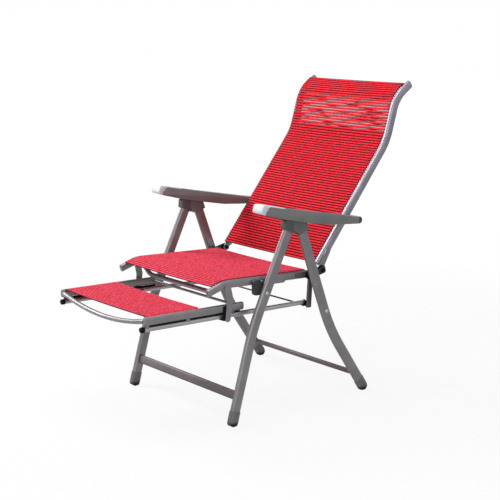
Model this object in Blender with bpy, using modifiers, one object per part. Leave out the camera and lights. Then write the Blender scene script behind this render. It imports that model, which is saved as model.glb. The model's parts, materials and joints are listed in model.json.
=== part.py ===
"""Folding recliner with a sliding footrest, in metres with +Z up.

The chair faces -Y and the sitter's left is +X. The origin is on the floor, midway between the
sides and under the hinges where the front and rear legs meet. Pairs (y, z) are places in the
side view.
"""

from math import asin, atan2, cos, pi, radians, sin, tan

import bmesh
import bpy
from mathutils import Matrix, Vector

# Driving sizes
GAP = 0.0003
LEG_X = 0.275
LEG_WIDE = 0.037
LEG_THICK = 0.018
HINGE_HEIGHT = 0.616
FRONT_FOOT_Y = -0.261
REAR_FOOT_Y = 0.316
FRONT_BEND = (-0.1786, 0.304)
REAR_BEND = (0.1586, 0.2474)
FRONT_BEND_RADIUS = 0.70
REAR_BEND_RADIUS = 0.66
FRONT_LEG_SETBACK = 0.0274
REAR_LEG_SETBACK = 0.0210
FOOT_RADIUS = 0.020
FOOT_FLAT_DEPTH = 0.0015
FOOT_SLEEVE = 0.030
FOOT_WALL = 0.0015
FOOT_SOLE = 0.004
CROSSBAR_THICK = 0.015
FRONT_CROSSBAR_DEEP = 0.030
REAR_CROSSBAR_DEEP = 0.020
FRONT_CROSSBAR_HEIGHT = 0.0935
REAR_CROSSBAR_HEIGHT = 0.066

KNUCKLE_THICK = 0.026
KNUCKLE_WALL = 0.003
KNUCKLE_HEAD = 0.018
KNUCKLE_TOP = 0.0315
KNUCKLE_PIN = 0.004
TONGUE_THICK = 0.010
TONGUE_RADIUS = 0.0155
FRONT_SLEEVE_DROP = 0.0133
REAR_SLEEVE_DROP = 0.0219
SLEEVE_DEPTH = 0.020
KNUCKLE_BROW = (0.008, 0.010)
KNUCKLE_NAPE = ((0.034, 0.0085), (0.024, 0.0035), (0.010, 0.0))
KNUCKLE_CHEEK = 0.022
PARTING_ANGLE = 135
PARTING_TOP_Y = -0.026
NOTCH_ANGLE = 232
HEAD_END_ANGLE = 275
TONGUE_ANGLE = 185
TONGUE_ROOT_RADIUS = 0.006

RAIL_X = 0.240
RAIL_THICK = 0.016
SEAT_RAIL_DEEP = 0.026
SEAT_RAIL_FRONT = (-0.3215, 0.4415)
SEAT_RAIL_BEND = (-0.268, 0.4575)
SEAT_RAIL_REAR = (0.088, 0.441)
SEAT_RAIL_BEND_RADIUS = 0.12
SEAT_BAR_SETBACK = 0.006
SEAT_BAR_LOWERED = 0.003
SEAT_BAR_DIP = 0.035
SEAT_BAR_LEVEL = 0.018
SEAT_BAR_SLOPE = 0.062
SEAT_BAR_RADII = (0.03, 0.05, 0.05, 0.03)
SEAT_PIVOT = (0.100, 0.443)
BACK_PIVOT = (0.1336, 0.450)
PLATE_THICK = 0.003
PIVOT_PLATE_RADIUS = 0.012
PIVOT_PIN = 0.004
PIVOT_BLIND = 0.002
NUT_LONG = 0.0085
NUT_RADIUS = 0.008
BOLT_HEAD_THICK = 0.003
BOLT_HEAD_RADIUS = 0.0075
SEAT_PLATE_START_Y = 0.036
SEAT_PLATE_START_RADIUS = 0.009
BRACKET_RADIUS = 0.018
BRACKET_FRONT = (0.085, 0.441)
BRACKET_REAR = (0.141, 0.4525)
HINGE_PLATE_RIM = 0.006
HINGE_PLATE_STEM = 0.009
REAR_RIVET = (0.1364, 0.3127)
SEAT_STUD = (-0.125, 0.450)
STUD_RADIUS = 0.005
SLOT_FLARE = 0.010
SLOT_LONG = 0.060
SADDLE_CORNERS = (
    (-0.029, -0.031, 0.010), (0.008, -0.033, 0.008), (0.035, -0.006, 0.008),
    (0.031, 0.010, 0.007), (-0.032, 0.011, 0.008),
)
SADDLE_CLEAR = 0.0005
STUD_PLATE_FRONT_Y = -0.143
STUD_PLATE_REAR_Y = -0.019
STUD_PLATE_DROP = 0.003
STUD_PLATE_CORNER = 0.006
STUD_PLATE_RISE = (0.009, 0.004)

BACK_FOOT = (0.1377, 0.4688)
BACK_NECK = (0.4521, 0.8552)
BACK_CROWN = (0.4956, 1.0011)
BACK_TOP = (0.5628, 1.0480)
BACK_NECK_RADIUS = 0.20
BACK_CROWN_RADIUS = 0.12
BACK_TUBE_WIDE = 0.030
TOP_BAR_RADIUS = 0.006
TOP_BAR_INSET = 0.009
BACK_PLATE_LONG = 0.055
BACK_PLATE_TOP_RADIUS = 0.010
BACK_SLING_START = 0.008

SLIDE_HEIGHT = 0.3451
SLIDE_TILT = radians(1.64)
SLIDE_TUBE_X = 0.2275
SLIDE_TUBE_RADIUS = 0.008
SLIDE_TUBE_FRONT = -0.570
SLIDE_TUBE_REAR = 0.086
FOOT_RAIL_X = 0.236
FOOT_RAIL_THICK = 0.015
FOOT_RAIL_DEEP = 0.0265
FOOT_RAIL_FRONT = -0.566
FOOT_RAIL_REAR = -0.194
FOOT_RAIL_LIFT = 0.0137
SPACER_STATIONS = (-0.557, -0.404, -0.230)
SPACER_WIDE = 0.0050
SPACER_LONG = 0.014
SPACER_INSET = 0.0015
SPACER_WELD = 0.004
BAR_RADIUS = 0.008
THIN_BAR_RADIUS = 0.0045
BOW_STATION = -0.565
BOW_DROP = 0.0265
BOW_STUB = 0.004
BOW_LOWERED = 0.0015
THIN_BAR_STATION = -0.205

PLUG_ROUND = 0.0015
PLUG_TAPER = 0.82
TUBE_PLUG = 0.0045
SEAT_PLUG = 0.012
WELD_DEPTH = 0.002

SLING_THICK = 0.004
SLING_SUNK = 0.002
RIB_PITCH = 0.010
RIB_HEIGHT = 0.0012
SEAT_SLING_START = 0.007
SEAT_SLING_END = 0.006
FOOT_SLING_FRONT = -0.562
FOOT_SLING_REAR = -0.362

HANGER_FRONT_TOP = (-0.259, 0.447)
HANGER_FRONT_WAIST = (-0.250, 0.407)
HANGER_FRONT_FOOT = (-0.2595, 0.346)
HANGER_TOP_RADIUS = 0.012
HANGER_WAIST_RADIUS = 0.0125
HANGER_FOOT_RADIUS = 0.0095
HANGER_WELD_RADIUS = 0.007
HANGER_REAR_TOP = (0.0995, 0.448)
HANGER_REAR_FOOT = (0.0905, 0.3265)
HANGER_REAR_WIDE = 0.021
HANGER_REAR_THICK = 0.0105
ROD_RADIUS = 0.003
ROD_PLACE = (0.0965, 0.3285)
GUIDE_WALL = 0.003
GUIDE_LONG = 0.016
GUIDE_HOLD = 0.0044
GUIDE_PAD = 0.0212
FRONT_GUIDE_STATION = -0.266
REAR_GUIDE_STATION = 0.0815

ARM_X = 0.275
ARM_WIDE = 0.047
ARM_WALL = 0.003
ARM_PIVOT = (0.251, 0.607)
ARM_TOP = (
    (0.2643, 0.6210), (0.1808, 0.6371), (0.0862, 0.6542), (-0.0015, 0.6719),
    (-0.0672, 0.6861), (-0.1303, 0.7002),
)
ARM_BOTTOM = (
    (-0.1449, 0.6701), (-0.0863, 0.6530), (0.0251, 0.6283), (0.1287, 0.6086),
    (0.2005, 0.6019), (0.2730, 0.5962),
)
ARM_TIP_TOP = (-0.1790, 0.7083)
ARM_TIP_BOTTOM = (-0.1954, 0.6827)
ARM_REAR_END = (0.2836, 0.6086)
ARM_REAR_RADIUS = 0.0125
ARM_TIP_ROUND = 0.009
ARM_TIP_BROW = 0.016
ARM_EDGE = 0.003
RACK_THICK = 0.010
RACK_FRONT_Y = -0.070
RACK_REAR_Y = 0.056
RACK_PITCH = 0.018
RACK_TOOTH = 0.0025
RACK_CLEAR = 0.0030
ARM_PIN_FLANGE = 0.012
ARM_PIN_HEAD = 0.008
ARM_PIN_HEAD_THICK = 0.003

CUT_PAST = 0.010

# Sizes that follow
LEG_INNER = LEG_X - LEG_THICK / 2
LEG_OUTER = LEG_X + LEG_THICK / 2
RAIL_OUTER = RAIL_X + RAIL_THICK / 2
RAIL_INNER = RAIL_X - RAIL_THICK / 2
PLATE_OUTER = RAIL_OUTER + GAP + PLATE_THICK
FOOT_RAIL_INNER = FOOT_RAIL_X - FOOT_RAIL_THICK / 2
FOOT_RAIL_OUTER = FOOT_RAIL_X + FOOT_RAIL_THICK / 2
FOOT_RAIL_MIDDLE = FOOT_RAIL_LIFT + FOOT_RAIL_DEEP / 2
HINGE = (0.0, HINGE_HEIGHT)
FOOT_CENTRE_HEIGHT = FOOT_RADIUS - FOOT_FLAT_DEPTH

SIDE_VIEW = (pi / 2, 0, pi / 2)
FRONT_VIEW = (pi / 2, 0, 0)
ALONG_X = (0, pi / 2, 0)


def clear_scene():
    for item in list(bpy.data.objects):
        bpy.data.objects.remove(item, do_unlink=True)


def new_collection(name):
    collection = bpy.data.collections.new(name)
    bpy.context.scene.collection.children.link(collection)
    return collection


clear_scene()
PARTS = new_collection("folding_recliner")
GUIDES = new_collection("guides")


def finish(name, colour, roughness, metallic):
    """A plain Principled material."""
    material = bpy.data.materials.new(name)
    material.use_nodes = True
    shader = material.node_tree.nodes["Principled BSDF"]
    shader.inputs["Base Color"].default_value = (*colour, 1)
    shader.inputs["Roughness"].default_value = roughness
    shader.inputs["Metallic"].default_value = metallic
    return material


SILVER = ("silver_paint", (0.36, 0.35, 0.35), 0.38, 0.6)
MOULDED = ("grey_green_plastic", (0.10, 0.115, 0.11), 0.5, 0.0)
BLACK = ("black_plastic", (0.02, 0.02, 0.02), 0.5, 0.0)
RUBBER = ("rubber", (0.025, 0.025, 0.025), 0.8, 0.0)
STEEL = ("plated_steel", (0.5, 0.5, 0.5), 0.3, 1.0)
FABRIC = ("red_mesh", (0.72, 0.02, 0.05), 0.8, 0.0)
ARM_GREY = ("armrest_plastic", (0.13, 0.13, 0.135), 0.5, 0.0)
CAP_GREY = ("pale_cap", (0.55, 0.56, 0.57), 0.4, 0.2)


def link(item, name, look):
    """Name an object, give it a material of its own and put it with the parts."""
    item.name = name
    item.data.name = name
    kind, colour, roughness, metallic = look
    item.data.materials.clear()
    item.data.materials.append(finish(f"{name}_{kind}", colour, roughness, metallic))
    PARTS.objects.link(item)
    return item


def as_mesh(item):
    """Turn a curve, or a mesh with modifiers, into a plain closed mesh in the same place."""
    temporary = item.name not in bpy.context.scene.collection.objects
    if temporary:
        bpy.context.scene.collection.objects.link(item)
    bpy.context.view_layer.update()
    graph = bpy.context.evaluated_depsgraph_get()
    mesh = bpy.data.meshes.new_from_object(item.evaluated_get(graph))
    cage = bmesh.new()
    cage.from_mesh(mesh)
    bmesh.ops.remove_doubles(cage, verts=cage.verts, dist=0.000002)
    bmesh.ops.recalc_face_normals(cage, faces=cage.faces)
    cage.to_mesh(mesh)
    cage.free()
    result = bpy.data.objects.new(item.name, mesh)
    result.matrix_world = item.matrix_world.copy()
    bpy.data.objects.remove(item, do_unlink=True)
    return result


def combined(base, others, operation):
    """Cut the others from the base, or join them to it, with exact Booleans."""
    bpy.context.scene.collection.objects.link(base)
    for other in others:
        bpy.context.scene.collection.objects.link(other)
        change = base.modifiers.new(operation.lower(), "BOOLEAN")
        change.operation = operation
        change.solver = "EXACT"
        change.object = other
    result = as_mesh(base)
    for other in others:
        bpy.data.objects.remove(other, do_unlink=True)
    return result


def cut(base, *cutters):
    return combined(base, cutters, "DIFFERENCE")


def joined(base, *others):
    return combined(base, others, "UNION")


def mirrored(item):
    """A copy on the other side of the chair, with its own mirrored mesh."""
    mesh = item.data.copy()
    flip = Matrix.Scale(-1, 4, (1, 0, 0))
    place = Matrix.Translation(flip @ item.matrix_world.translation)
    place = place @ item.matrix_world.to_3x3().to_4x4()
    mesh.transform(place.inverted() @ flip @ item.matrix_world)
    mesh.flip_normals()
    copy = bpy.data.objects.new(item.name, mesh)
    copy.matrix_world = place
    return copy


def both_sides(item, name, look):
    """The left piece and its mirrored right one, as two objects."""
    right = mirrored(item)
    left = link(item, f"{name}_left", look)
    return [left, link(right, f"{name}_right", look)]


def curve_of(points, name="curve", closed=False, swell=None):
    """A two-dimensional poly curve through the points."""
    data = bpy.data.curves.new(name, "CURVE")
    data.dimensions = "2D"
    line = data.splines.new("POLY")
    line.points.add(len(points) - 1)
    for index, (point, place) in enumerate(zip(line.points, points)):
        point.co = (place[0], place[1], 0, 1)
        point.radius = swell[index] if swell else 1
    line.use_cyclic_u = closed
    return data


def plate(outline, middle_x, thick):
    """A flat piece with a side-view outline, centred at middle_x."""
    data = curve_of(outline, "plate", closed=True)
    data.fill_mode = "BOTH"
    data.extrude = thick / 2
    item = bpy.data.objects.new("plate", data)
    item.rotation_euler = SIDE_VIEW
    item.location = (middle_x, 0, 0)
    return as_mesh(item)


def oval(wide, thick, steps=5):
    """A flat-oval section as a guide curve: round at both ends of its width."""
    half = wide / 2 - thick / 2
    points = []
    for middle, start in ((half, -pi / 2), (-half, pi / 2)):
        for step in range(steps + 1):
            angle = start + pi * step / steps
            points.append((middle + thick / 2 * cos(angle), thick / 2 * sin(angle)))
    item = bpy.data.objects.new("section", curve_of(points, "section", closed=True))
    item.hide_render = True
    item.display_type = "WIRE"
    GUIDES.objects.link(item)
    return item


def oval_tube(path, middle_x, wide, thick, swell=None):
    """A flat-oval tube along a side-view path, its width in the side view."""
    data = curve_of(path, "tube", swell=swell)
    data.bevel_mode = "OBJECT"
    data.bevel_object = oval(wide, thick)
    data.use_fill_caps = True
    item = bpy.data.objects.new("tube", data)
    item.rotation_euler = SIDE_VIEW
    item.location = (middle_x, 0, 0)
    return as_mesh(item)


def round_tube(path, radius, view, offset, resolution=3, swell=None):
    """A round tube along a path drawn in the side view or the front view."""
    data = curve_of(path, "tube", swell=swell)
    data.bevel_depth = radius
    data.bevel_resolution = resolution
    data.use_fill_caps = True
    item = bpy.data.objects.new("tube", data)
    item.rotation_euler = view
    item.location = offset
    return as_mesh(item)


def turned(profile, place, steps=16):
    """A turned piece on an axis along X: profile of (x, radius) from the outer end inwards."""
    mesh = bpy.data.meshes.new("profile")
    points = [(radius, 0, x) for x, radius in profile]
    mesh.from_pydata(points, [(i, i + 1) for i in range(len(points) - 1)], [])
    item = bpy.data.objects.new("turned", mesh)
    screw = item.modifiers.new("turn", "SCREW")
    screw.steps = steps
    screw.render_steps = steps
    screw.use_merge_vertices = True
    screw.merge_threshold = 0.0001
    item.rotation_euler = ALONG_X
    item.location = (0, *place)
    return as_mesh(item)


def rod(low_x, high_x, radius, place, steps=16):
    """A plain round pin along X."""
    return turned([(high_x, 0), (high_x, radius), (low_x, radius), (low_x, 0)], place, steps)


def block(low, high):
    """A box between two corners."""
    cage = bmesh.new()
    bmesh.ops.create_cube(cage, size=1)
    size = Vector(high) - Vector(low)
    bmesh.ops.scale(cage, vec=size, verts=cage.verts)
    mesh = bpy.data.meshes.new("block")
    cage.to_mesh(mesh)
    cage.free()
    item = bpy.data.objects.new("block", mesh)
    item.location = (Vector(high) + Vector(low)) / 2
    return item


def towards(start, end):
    """The unit vector from one place to another in the side view."""
    return (Vector(end) - Vector(start)).normalized()


def square_to(direction):
    """The direction turned a quarter turn clockwise."""
    return Vector((direction.y, -direction.x))


def arc(centre, radius, start, end, steps):
    """Points round a centre between two angles in degrees."""
    points = []
    for step in range(steps + 1):
        angle = radians(start + (end - start) * step / steps)
        points.append(Vector(centre) + radius * Vector((cos(angle), sin(angle))))
    return points


def rounded_path(corners, radii, steps=5):
    """A line of corners, each inner one rounded to its radius."""
    corners = [Vector(corner) for corner in corners]
    points = [corners[0]]
    for before, corner, after, radius in zip(corners, corners[1:], corners[2:], radii):
        arriving = (corner - before).normalized()
        leaving = (after - corner).normalized()
        turn = atan2(arriving.x * leaving.y - arriving.y * leaving.x, arriving.dot(leaving))
        room = 0.48 * min((corner - before).length, (after - corner).length)
        reach = min(radius * tan(abs(turn) / 2), room)
        real_radius = reach / tan(abs(turn) / 2)
        side = 1 if turn > 0 else -1
        start = corner - arriving * reach
        centre = start - square_to(arriving) * side * real_radius
        first = start - centre
        for step in range(steps + 1):
            angle = turn * step / steps
            points.append(centre + Matrix.Rotation(angle, 2) @ first)
    points.append(corners[-1])
    return points


def belt(circles, steps=6):
    """The outline of a belt round circles (y, z, radius) listed anticlockwise."""
    normals = []
    for one, two in zip(circles, circles[1:] + circles[:1]):
        span = Vector(two[:2]) - Vector(one[:2])
        lean = asin((one[2] - two[2]) / span.length)
        normal = square_to(span.normalized()) * cos(lean) + span.normalized() * sin(lean)
        normals.append(atan2(normal.y, normal.x))
    points = []
    for index, (y, z, radius) in enumerate(circles):
        start = normals[index - 1]
        end = normals[index]
        while end < start:
            end += 2 * pi
        for step in range(steps + 1):
            angle = start + (end - start) * step / steps
            points.append(Vector((y, z)) + radius * Vector((cos(angle), sin(angle))))
    return points


def offset_path(path, distance):
    """A path moved sideways, positive to the left of its direction."""
    moved = []
    for index, point in enumerate(path):
        before = path[max(index - 1, 0)]
        after = path[min(index + 1, len(path) - 1)]
        moved.append(point - square_to((after - before).normalized()) * distance)
    return moved


def walk(path, station):
    """The place and direction at a distance along a path."""
    for one, two in zip(path, path[1:]):
        span = (two - one).length
        if station <= span:
            break
        station -= span
    direction = (two - one).normalized()
    return one + direction * station, direction


def path_length(path):
    return sum((two - one).length for one, two in zip(path, path[1:]))


def ribbed_sling(path, half_width):
    """A sling of cords across X: a ribbed strip swept over the width between two rails."""
    length = path_length(path)
    count = round(length / RIB_PITCH)
    upper = []
    lower = []
    for rib in range(count):
        for share, rise in ((0.0, 0.0), (0.3, 1.0), (0.7, 1.0)):
            place, direction = walk(path, length * (rib + share) / count)
            normal = -square_to(direction)
            half = SLING_THICK / 2 - RIB_HEIGHT * (1 - rise)
            upper.append(place + normal * half)
            lower.append(place - normal * half)
    place, direction = walk(path, length)
    end_half = SLING_THICK / 2 - RIB_HEIGHT
    upper.append(place - square_to(direction) * end_half)
    lower.append(place + square_to(direction) * end_half)
    return plate(upper + lower[::-1], 0, 2 * half_width)


# The two leg frames

def leg_axis(foot_y, bend, radius, setback):
    """A leg's centreline from its foot to the height of the hinge."""
    return rounded_path([(foot_y, FOOT_CENTRE_HEIGHT), bend, (setback, HINGE_HEIGHT)], [radius])


FRONT_AXIS = leg_axis(FRONT_FOOT_Y, FRONT_BEND, FRONT_BEND_RADIUS, -FRONT_LEG_SETBACK)
REAR_AXIS = leg_axis(REAR_FOOT_Y, REAR_BEND, REAR_BEND_RADIUS, REAR_LEG_SETBACK)
FRONT_UP = towards(FRONT_AXIS[-2], FRONT_AXIS[-1])
REAR_UP = towards(REAR_AXIS[-2], REAR_AXIS[-1])
FRONT_MOUTH = FRONT_AXIS[-1] - FRONT_UP * FRONT_SLEEVE_DROP
REAR_MOUTH = REAR_AXIS[-1] - REAR_UP * REAR_SLEEVE_DROP


def leg(axis, mouth, up):
    """A bent flat-oval tube from inside its foot to inside its knuckle."""
    path = [axis[0] + towards(axis[0], axis[1]) * FOOT_SOLE]
    path += axis[1:-1]
    path.append(mouth + up * (SLEEVE_DEPTH - GAP))
    tube = oval_tube(path, LEG_X, LEG_WIDE, LEG_THICK)
    return cut(tube, head_space(KNUCKLE_HEAD + KNUCKLE_WALL))


def head_space(radius):
    """The round space about the hinge that the ends of the legs stay clear of."""
    return rod(LEG_INNER - CUT_PAST, LEG_OUTER + CUT_PAST, radius, HINGE, 32)


def foot(axis):
    """A rubber cap on the end of a leg, flat where it stands."""
    up = towards(axis[0], axis[1])
    centre = axis[0]
    half = LEG_WIDE / 2 + FOOT_WALL
    lean = atan2(up.y, up.x) * 180 / pi
    chord = asin(centre.y / FOOT_RADIUS) * 180 / pi
    round_end = arc(centre, FOOT_RADIUS, lean + 90, 180 + chord, 5)
    round_end += arc(centre, FOOT_RADIUS, 360 - chord, lean + 270, 5)
    mouth = centre + up * FOOT_SLEEVE
    side = square_to(up) * half
    outline = round_end + [mouth + side, mouth - side]
    cap = plate(outline, LEG_X, LEG_THICK + 2 * FOOT_WALL)
    pocket_path = [centre + up * (FOOT_SOLE - GAP), mouth + up * CUT_PAST]
    pocket = oval_tube(pocket_path, LEG_X, LEG_WIDE + 2 * GAP, LEG_THICK + 2 * GAP)
    return cut(cap, pocket)


def axis_at_height(axis, height):
    """The place and direction of a centreline at a height."""
    for one, two in zip(axis, axis[1:]):
        if two.y >= height:
            break
    share = (height - one.y) / (two.y - one.y)
    return one + (two - one) * share, (two - one).normalized()


def crossbar(axis, height, deep):
    """A low flat bar between the legs of one frame."""
    centre, direction = axis_at_height(axis, height)
    straight = max(deep - CROSSBAR_THICK, 0.001) / 2
    start = centre - direction * straight
    end = centre + direction * straight
    radius = CROSSBAR_THICK / 2
    outline = belt([(*start, radius), (*end, radius)], 8)
    return plate(outline, 0, 2 * (LEG_INNER - GAP))


def sleeve_corners(mouth, up):
    """The front and rear corners of a knuckle's mouth round its tube."""
    side = square_to(up) * (LEG_WIDE / 2 + KNUCKLE_WALL)
    return mouth - side, mouth + side


def knuckle_pocket(mouth, up):
    """The space for a leg's end in its knuckle half."""
    path = [mouth - up * CUT_PAST, mouth + up * SLEEVE_DEPTH]
    pocket = oval_tube(path, LEG_X, LEG_WIDE + 2 * GAP, LEG_THICK + 2 * GAP)
    return cut(pocket, head_space(KNUCKLE_HEAD + KNUCKLE_WALL - GAP))


def front_knuckle():
    """The front half: a sleeve on the leg with a hollow for the head and a tongue inside it."""
    front, rear = sleeve_corners(FRONT_MOUTH, FRONT_UP)
    top = HINGE_HEIGHT + KNUCKLE_TOP
    outline = [rear, front, Vector((front.x + KNUCKLE_BROW[0] / 4, top - KNUCKLE_BROW[1]))]
    outline.append(Vector((front.x + KNUCKLE_BROW[0], top)))
    outline.append(Vector((PARTING_TOP_Y - GAP, top)))
    outline += arc(HINGE, KNUCKLE_HEAD + GAP, PARTING_ANGLE, NOTCH_ANGLE, 8)
    body = plate(outline, LEG_X, KNUCKLE_THICK)
    root = arc(HINGE, KNUCKLE_HEAD + KNUCKLE_WALL, TONGUE_ANGLE, TONGUE_ANGLE, 1)[0]
    circles = [(*HINGE, TONGUE_RADIUS), (*root, TONGUE_ROOT_RADIUS)]
    tongue = plate(belt(circles[::-1], 8), LEG_X, TONGUE_THICK)
    body = cut(joined(body, tongue), knuckle_pocket(FRONT_MOUTH, FRONT_UP))
    return cut(body, rod(LEG_INNER, LEG_OUTER, KNUCKLE_PIN + GAP, HINGE))


def rear_knuckle():
    """The rear half: a sleeve on the leg and a slotted round head on the hinge."""
    front, rear = sleeve_corners(REAR_MOUTH, REAR_UP)
    top = HINGE_HEIGHT + KNUCKLE_TOP
    outline = [rear, rear + REAR_UP * KNUCKLE_CHEEK]
    outline += [Vector((y, top - drop)) for y, drop in KNUCKLE_NAPE]
    outline.append(Vector((PARTING_TOP_Y, top)))
    outline += arc(HINGE, KNUCKLE_HEAD, PARTING_ANGLE, HEAD_END_ANGLE, 10)
    outline.append(front)
    body = plate(outline, LEG_X, KNUCKLE_THICK)
    body = cut(body, knuckle_pocket(REAR_MOUTH, REAR_UP))
    slot_half = TONGUE_THICK / 2 + GAP
    slot = rod(LEG_X - slot_half, LEG_X + slot_half, KNUCKLE_HEAD + 2 * GAP, HINGE, 24)
    body = cut(body, slot)
    return cut(body, rod(LEG_INNER - CUT_PAST, LEG_OUTER + CUT_PAST, KNUCKLE_PIN + GAP, HINGE))


def knuckle_pin():
    half = KNUCKLE_THICK / 2
    return rod(LEG_X - half, LEG_X + half, KNUCKLE_PIN, HINGE)


PLATE_X = LEG_INNER - GAP - PLATE_THICK / 2
BRACKET_OUTER = LEG_INNER - 2 * GAP - PLATE_THICK
BRACKET_INNER = PLATE_OUTER + GAP


def hinge_plate():
    """A steel plate inside a rear leg: a stem from the rivet up and a head along the bracket."""
    rim = BRACKET_RADIUS - HINGE_PLATE_RIM
    front = (*BRACKET_FRONT, rim)
    stem = plate(belt([(*REAR_RIVET, HINGE_PLATE_STEM), front]), PLATE_X, PLATE_THICK)
    head = plate(belt([front, (*BRACKET_REAR, rim)]), PLATE_X, PLATE_THICK)
    bore = rod(BRACKET_OUTER - CUT_PAST, LEG_INNER + CUT_PAST, PIVOT_PIN + GAP, BACK_PIVOT)
    return cut(joined(stem, head), bore)


def hinge_bracket():
    """A moulded block with the bores of the seat's and the back's pivots."""
    circles = [(*BRACKET_FRONT, BRACKET_RADIUS), (*BRACKET_REAR, BRACKET_RADIUS)]
    middle = (BRACKET_INNER + BRACKET_OUTER) / 2
    body = plate(belt(circles, 8), middle, BRACKET_OUTER - BRACKET_INNER)
    low = BRACKET_INNER - CUT_PAST
    through = rod(low, BRACKET_OUTER + CUT_PAST, PIVOT_PIN + GAP, BACK_PIVOT)
    blind = rod(low, BRACKET_OUTER - PIVOT_BLIND + GAP, PIVOT_PIN + GAP, SEAT_PIVOT)
    return cut(cut(body, through), blind)


def back_bolt():
    """The back's pivot bolt, with a domed nut outside the plate and a flat head inside."""
    nut = LEG_INNER
    head = RAIL_OUTER
    profile = []
    for step in range(5):
        turn = pi / 2 * step / 4
        profile.append((nut + NUT_LONG * cos(turn), NUT_RADIUS * sin(turn)))
    profile += [(nut, PIVOT_PIN), (head, PIVOT_PIN), (head, BOLT_HEAD_RADIUS)]
    profile += [(head - BOLT_HEAD_THICK, BOLT_HEAD_RADIUS), (head - BOLT_HEAD_THICK, 0)]
    return turned(profile, BACK_PIVOT)


SADDLE_INNER = PLATE_OUTER + SADDLE_CLEAR
SADDLE_OUTER = LEG_INNER - GAP
STUD_END = LEG_X - KNUCKLE_THICK / 2 - 0.001
SADDLE_SLOT = Vector((-0.31, 0.95)).normalized()


def saddle():
    """A hook-shaped block inside a front leg that holds the seat's stud from below."""
    y, z = SEAT_STUD
    outline = belt([(y + along, z + up, radius) for along, up, radius in SADDLE_CORNERS], 5)
    middle = (SADDLE_INNER + SADDLE_OUTER) / 2
    body = plate(outline, middle, SADDLE_OUTER - SADDLE_INNER)
    centre = Vector(SEAT_STUD)
    far = centre + SADDLE_SLOT * SLOT_LONG
    radius = STUD_RADIUS + GAP
    slot = belt([(*centre, radius), (*far, radius + SLOT_FLARE)], 8)
    return cut(body, plate(slot, middle, SADDLE_OUTER - SADDLE_INNER + 2 * CUT_PAST))


# The seat

SEAT_PATH = rounded_path(
    [SEAT_RAIL_FRONT, SEAT_RAIL_BEND, SEAT_RAIL_REAR], [SEAT_RAIL_BEND_RADIUS]
)
SEAT_LINE = towards(SEAT_RAIL_BEND, SEAT_RAIL_REAR)


def on_seat(y, lift=0.0):
    """The place on the seat rail's straight centreline at y, raised by lift."""
    height = SEAT_RAIL_REAR[1] + (y - SEAT_RAIL_REAR[0]) * SEAT_LINE.y / SEAT_LINE.x
    return Vector((y, height)) - square_to(SEAT_LINE) * lift


def plugged(path, first, last):
    """A path lengthened by its end plugs, with the swell that rounds a plug's outer edge."""
    path = list(path)
    swell = [1] * len(path)
    for long, end, inner in ((first, 0, 1), (last, -1, -2)):
        if long:
            outwards = towards(path[inner], path[end])
            tip = path[end] + outwards * long
            path[end] = tip - outwards * PLUG_ROUND
            swell[end] = 1
            place = 0 if end == 0 else len(path)
            path.insert(place, tip)
            swell.insert(place, PLUG_TAPER)
    return path, swell


def seat_rail():
    """A side rail with its front plug and, on its outer face, the plate with the seat's stud."""
    path, swell = plugged(SEAT_PATH, SEAT_PLUG, 0)
    tube = oval_tube(path, RAIL_X, SEAT_RAIL_DEEP, RAIL_THICK, swell)
    return joined(tube, seat_stud_plate())


def seat_front_bar():
    """A round bar that leaves the rails level, dips and runs straight across."""
    bar_y = SEAT_RAIL_BEND[0] + SEAT_BAR_SETBACK
    high = on_seat(bar_y).y - SEAT_BAR_LOWERED
    low = high - SEAT_BAR_DIP
    ends = RAIL_INNER - GAP
    level = ends - SEAT_BAR_LEVEL
    slope = ends - SEAT_BAR_SLOPE
    corners = [(-ends, high), (-level, high), (-slope, low)]
    corners += [(slope, low), (level, high), (ends, high)]
    path = rounded_path(corners, SEAT_BAR_RADII)
    return round_tube(path, BAR_RADIUS, FRONT_VIEW, (0, bar_y, 0))


def seat_sling():
    lift = SEAT_RAIL_DEEP / 2 - SLING_SUNK - SLING_THICK / 2
    path = offset_path(SEAT_PATH, lift)
    path[0] += towards(path[0], path[1]) * SEAT_SLING_START
    path[-1] -= SEAT_LINE * SEAT_SLING_END
    return ribbed_sling(path, RAIL_INNER - GAP)


def seat_stud_plate():
    """A plate on the rail's outer face with the stud that rests in the saddle."""
    low = -SEAT_RAIL_DEEP / 2 - STUD_PLATE_DROP
    front = STUD_PLATE_FRONT_Y
    rear = STUD_PLATE_REAR_Y
    corner = STUD_PLATE_CORNER
    outline = [on_seat(front, low + corner), on_seat(front + corner, low)]
    outline += [on_seat(rear - corner, low), on_seat(rear, low + corner)]
    outline += [on_seat(rear, STUD_PLATE_RISE[1]), on_seat(front, STUD_PLATE_RISE[0])]
    inner = RAIL_OUTER - WELD_DEPTH
    body = plate(outline, (inner + PLATE_OUTER) / 2, PLATE_OUTER - inner)
    return joined(body, rod(PLATE_OUTER - WELD_DEPTH, STUD_END, STUD_RADIUS, SEAT_STUD))


def seat_hinge_plate():
    """A plate over the rail's rear end with the pin that turns in the bracket."""
    y, z = SEAT_PIVOT
    start = on_seat(SEAT_PLATE_START_Y)
    circles = [(*start, SEAT_PLATE_START_RADIUS), (y, z, PIVOT_PLATE_RADIUS)]
    middle = (RAIL_OUTER + GAP + PLATE_OUTER) / 2
    body = plate(belt(circles, 8), middle, PLATE_THICK)
    pin_end = BRACKET_OUTER - PIVOT_BLIND
    return joined(body, rod(PLATE_OUTER - WELD_DEPTH, pin_end, PIVOT_PIN, SEAT_PIVOT))


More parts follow.
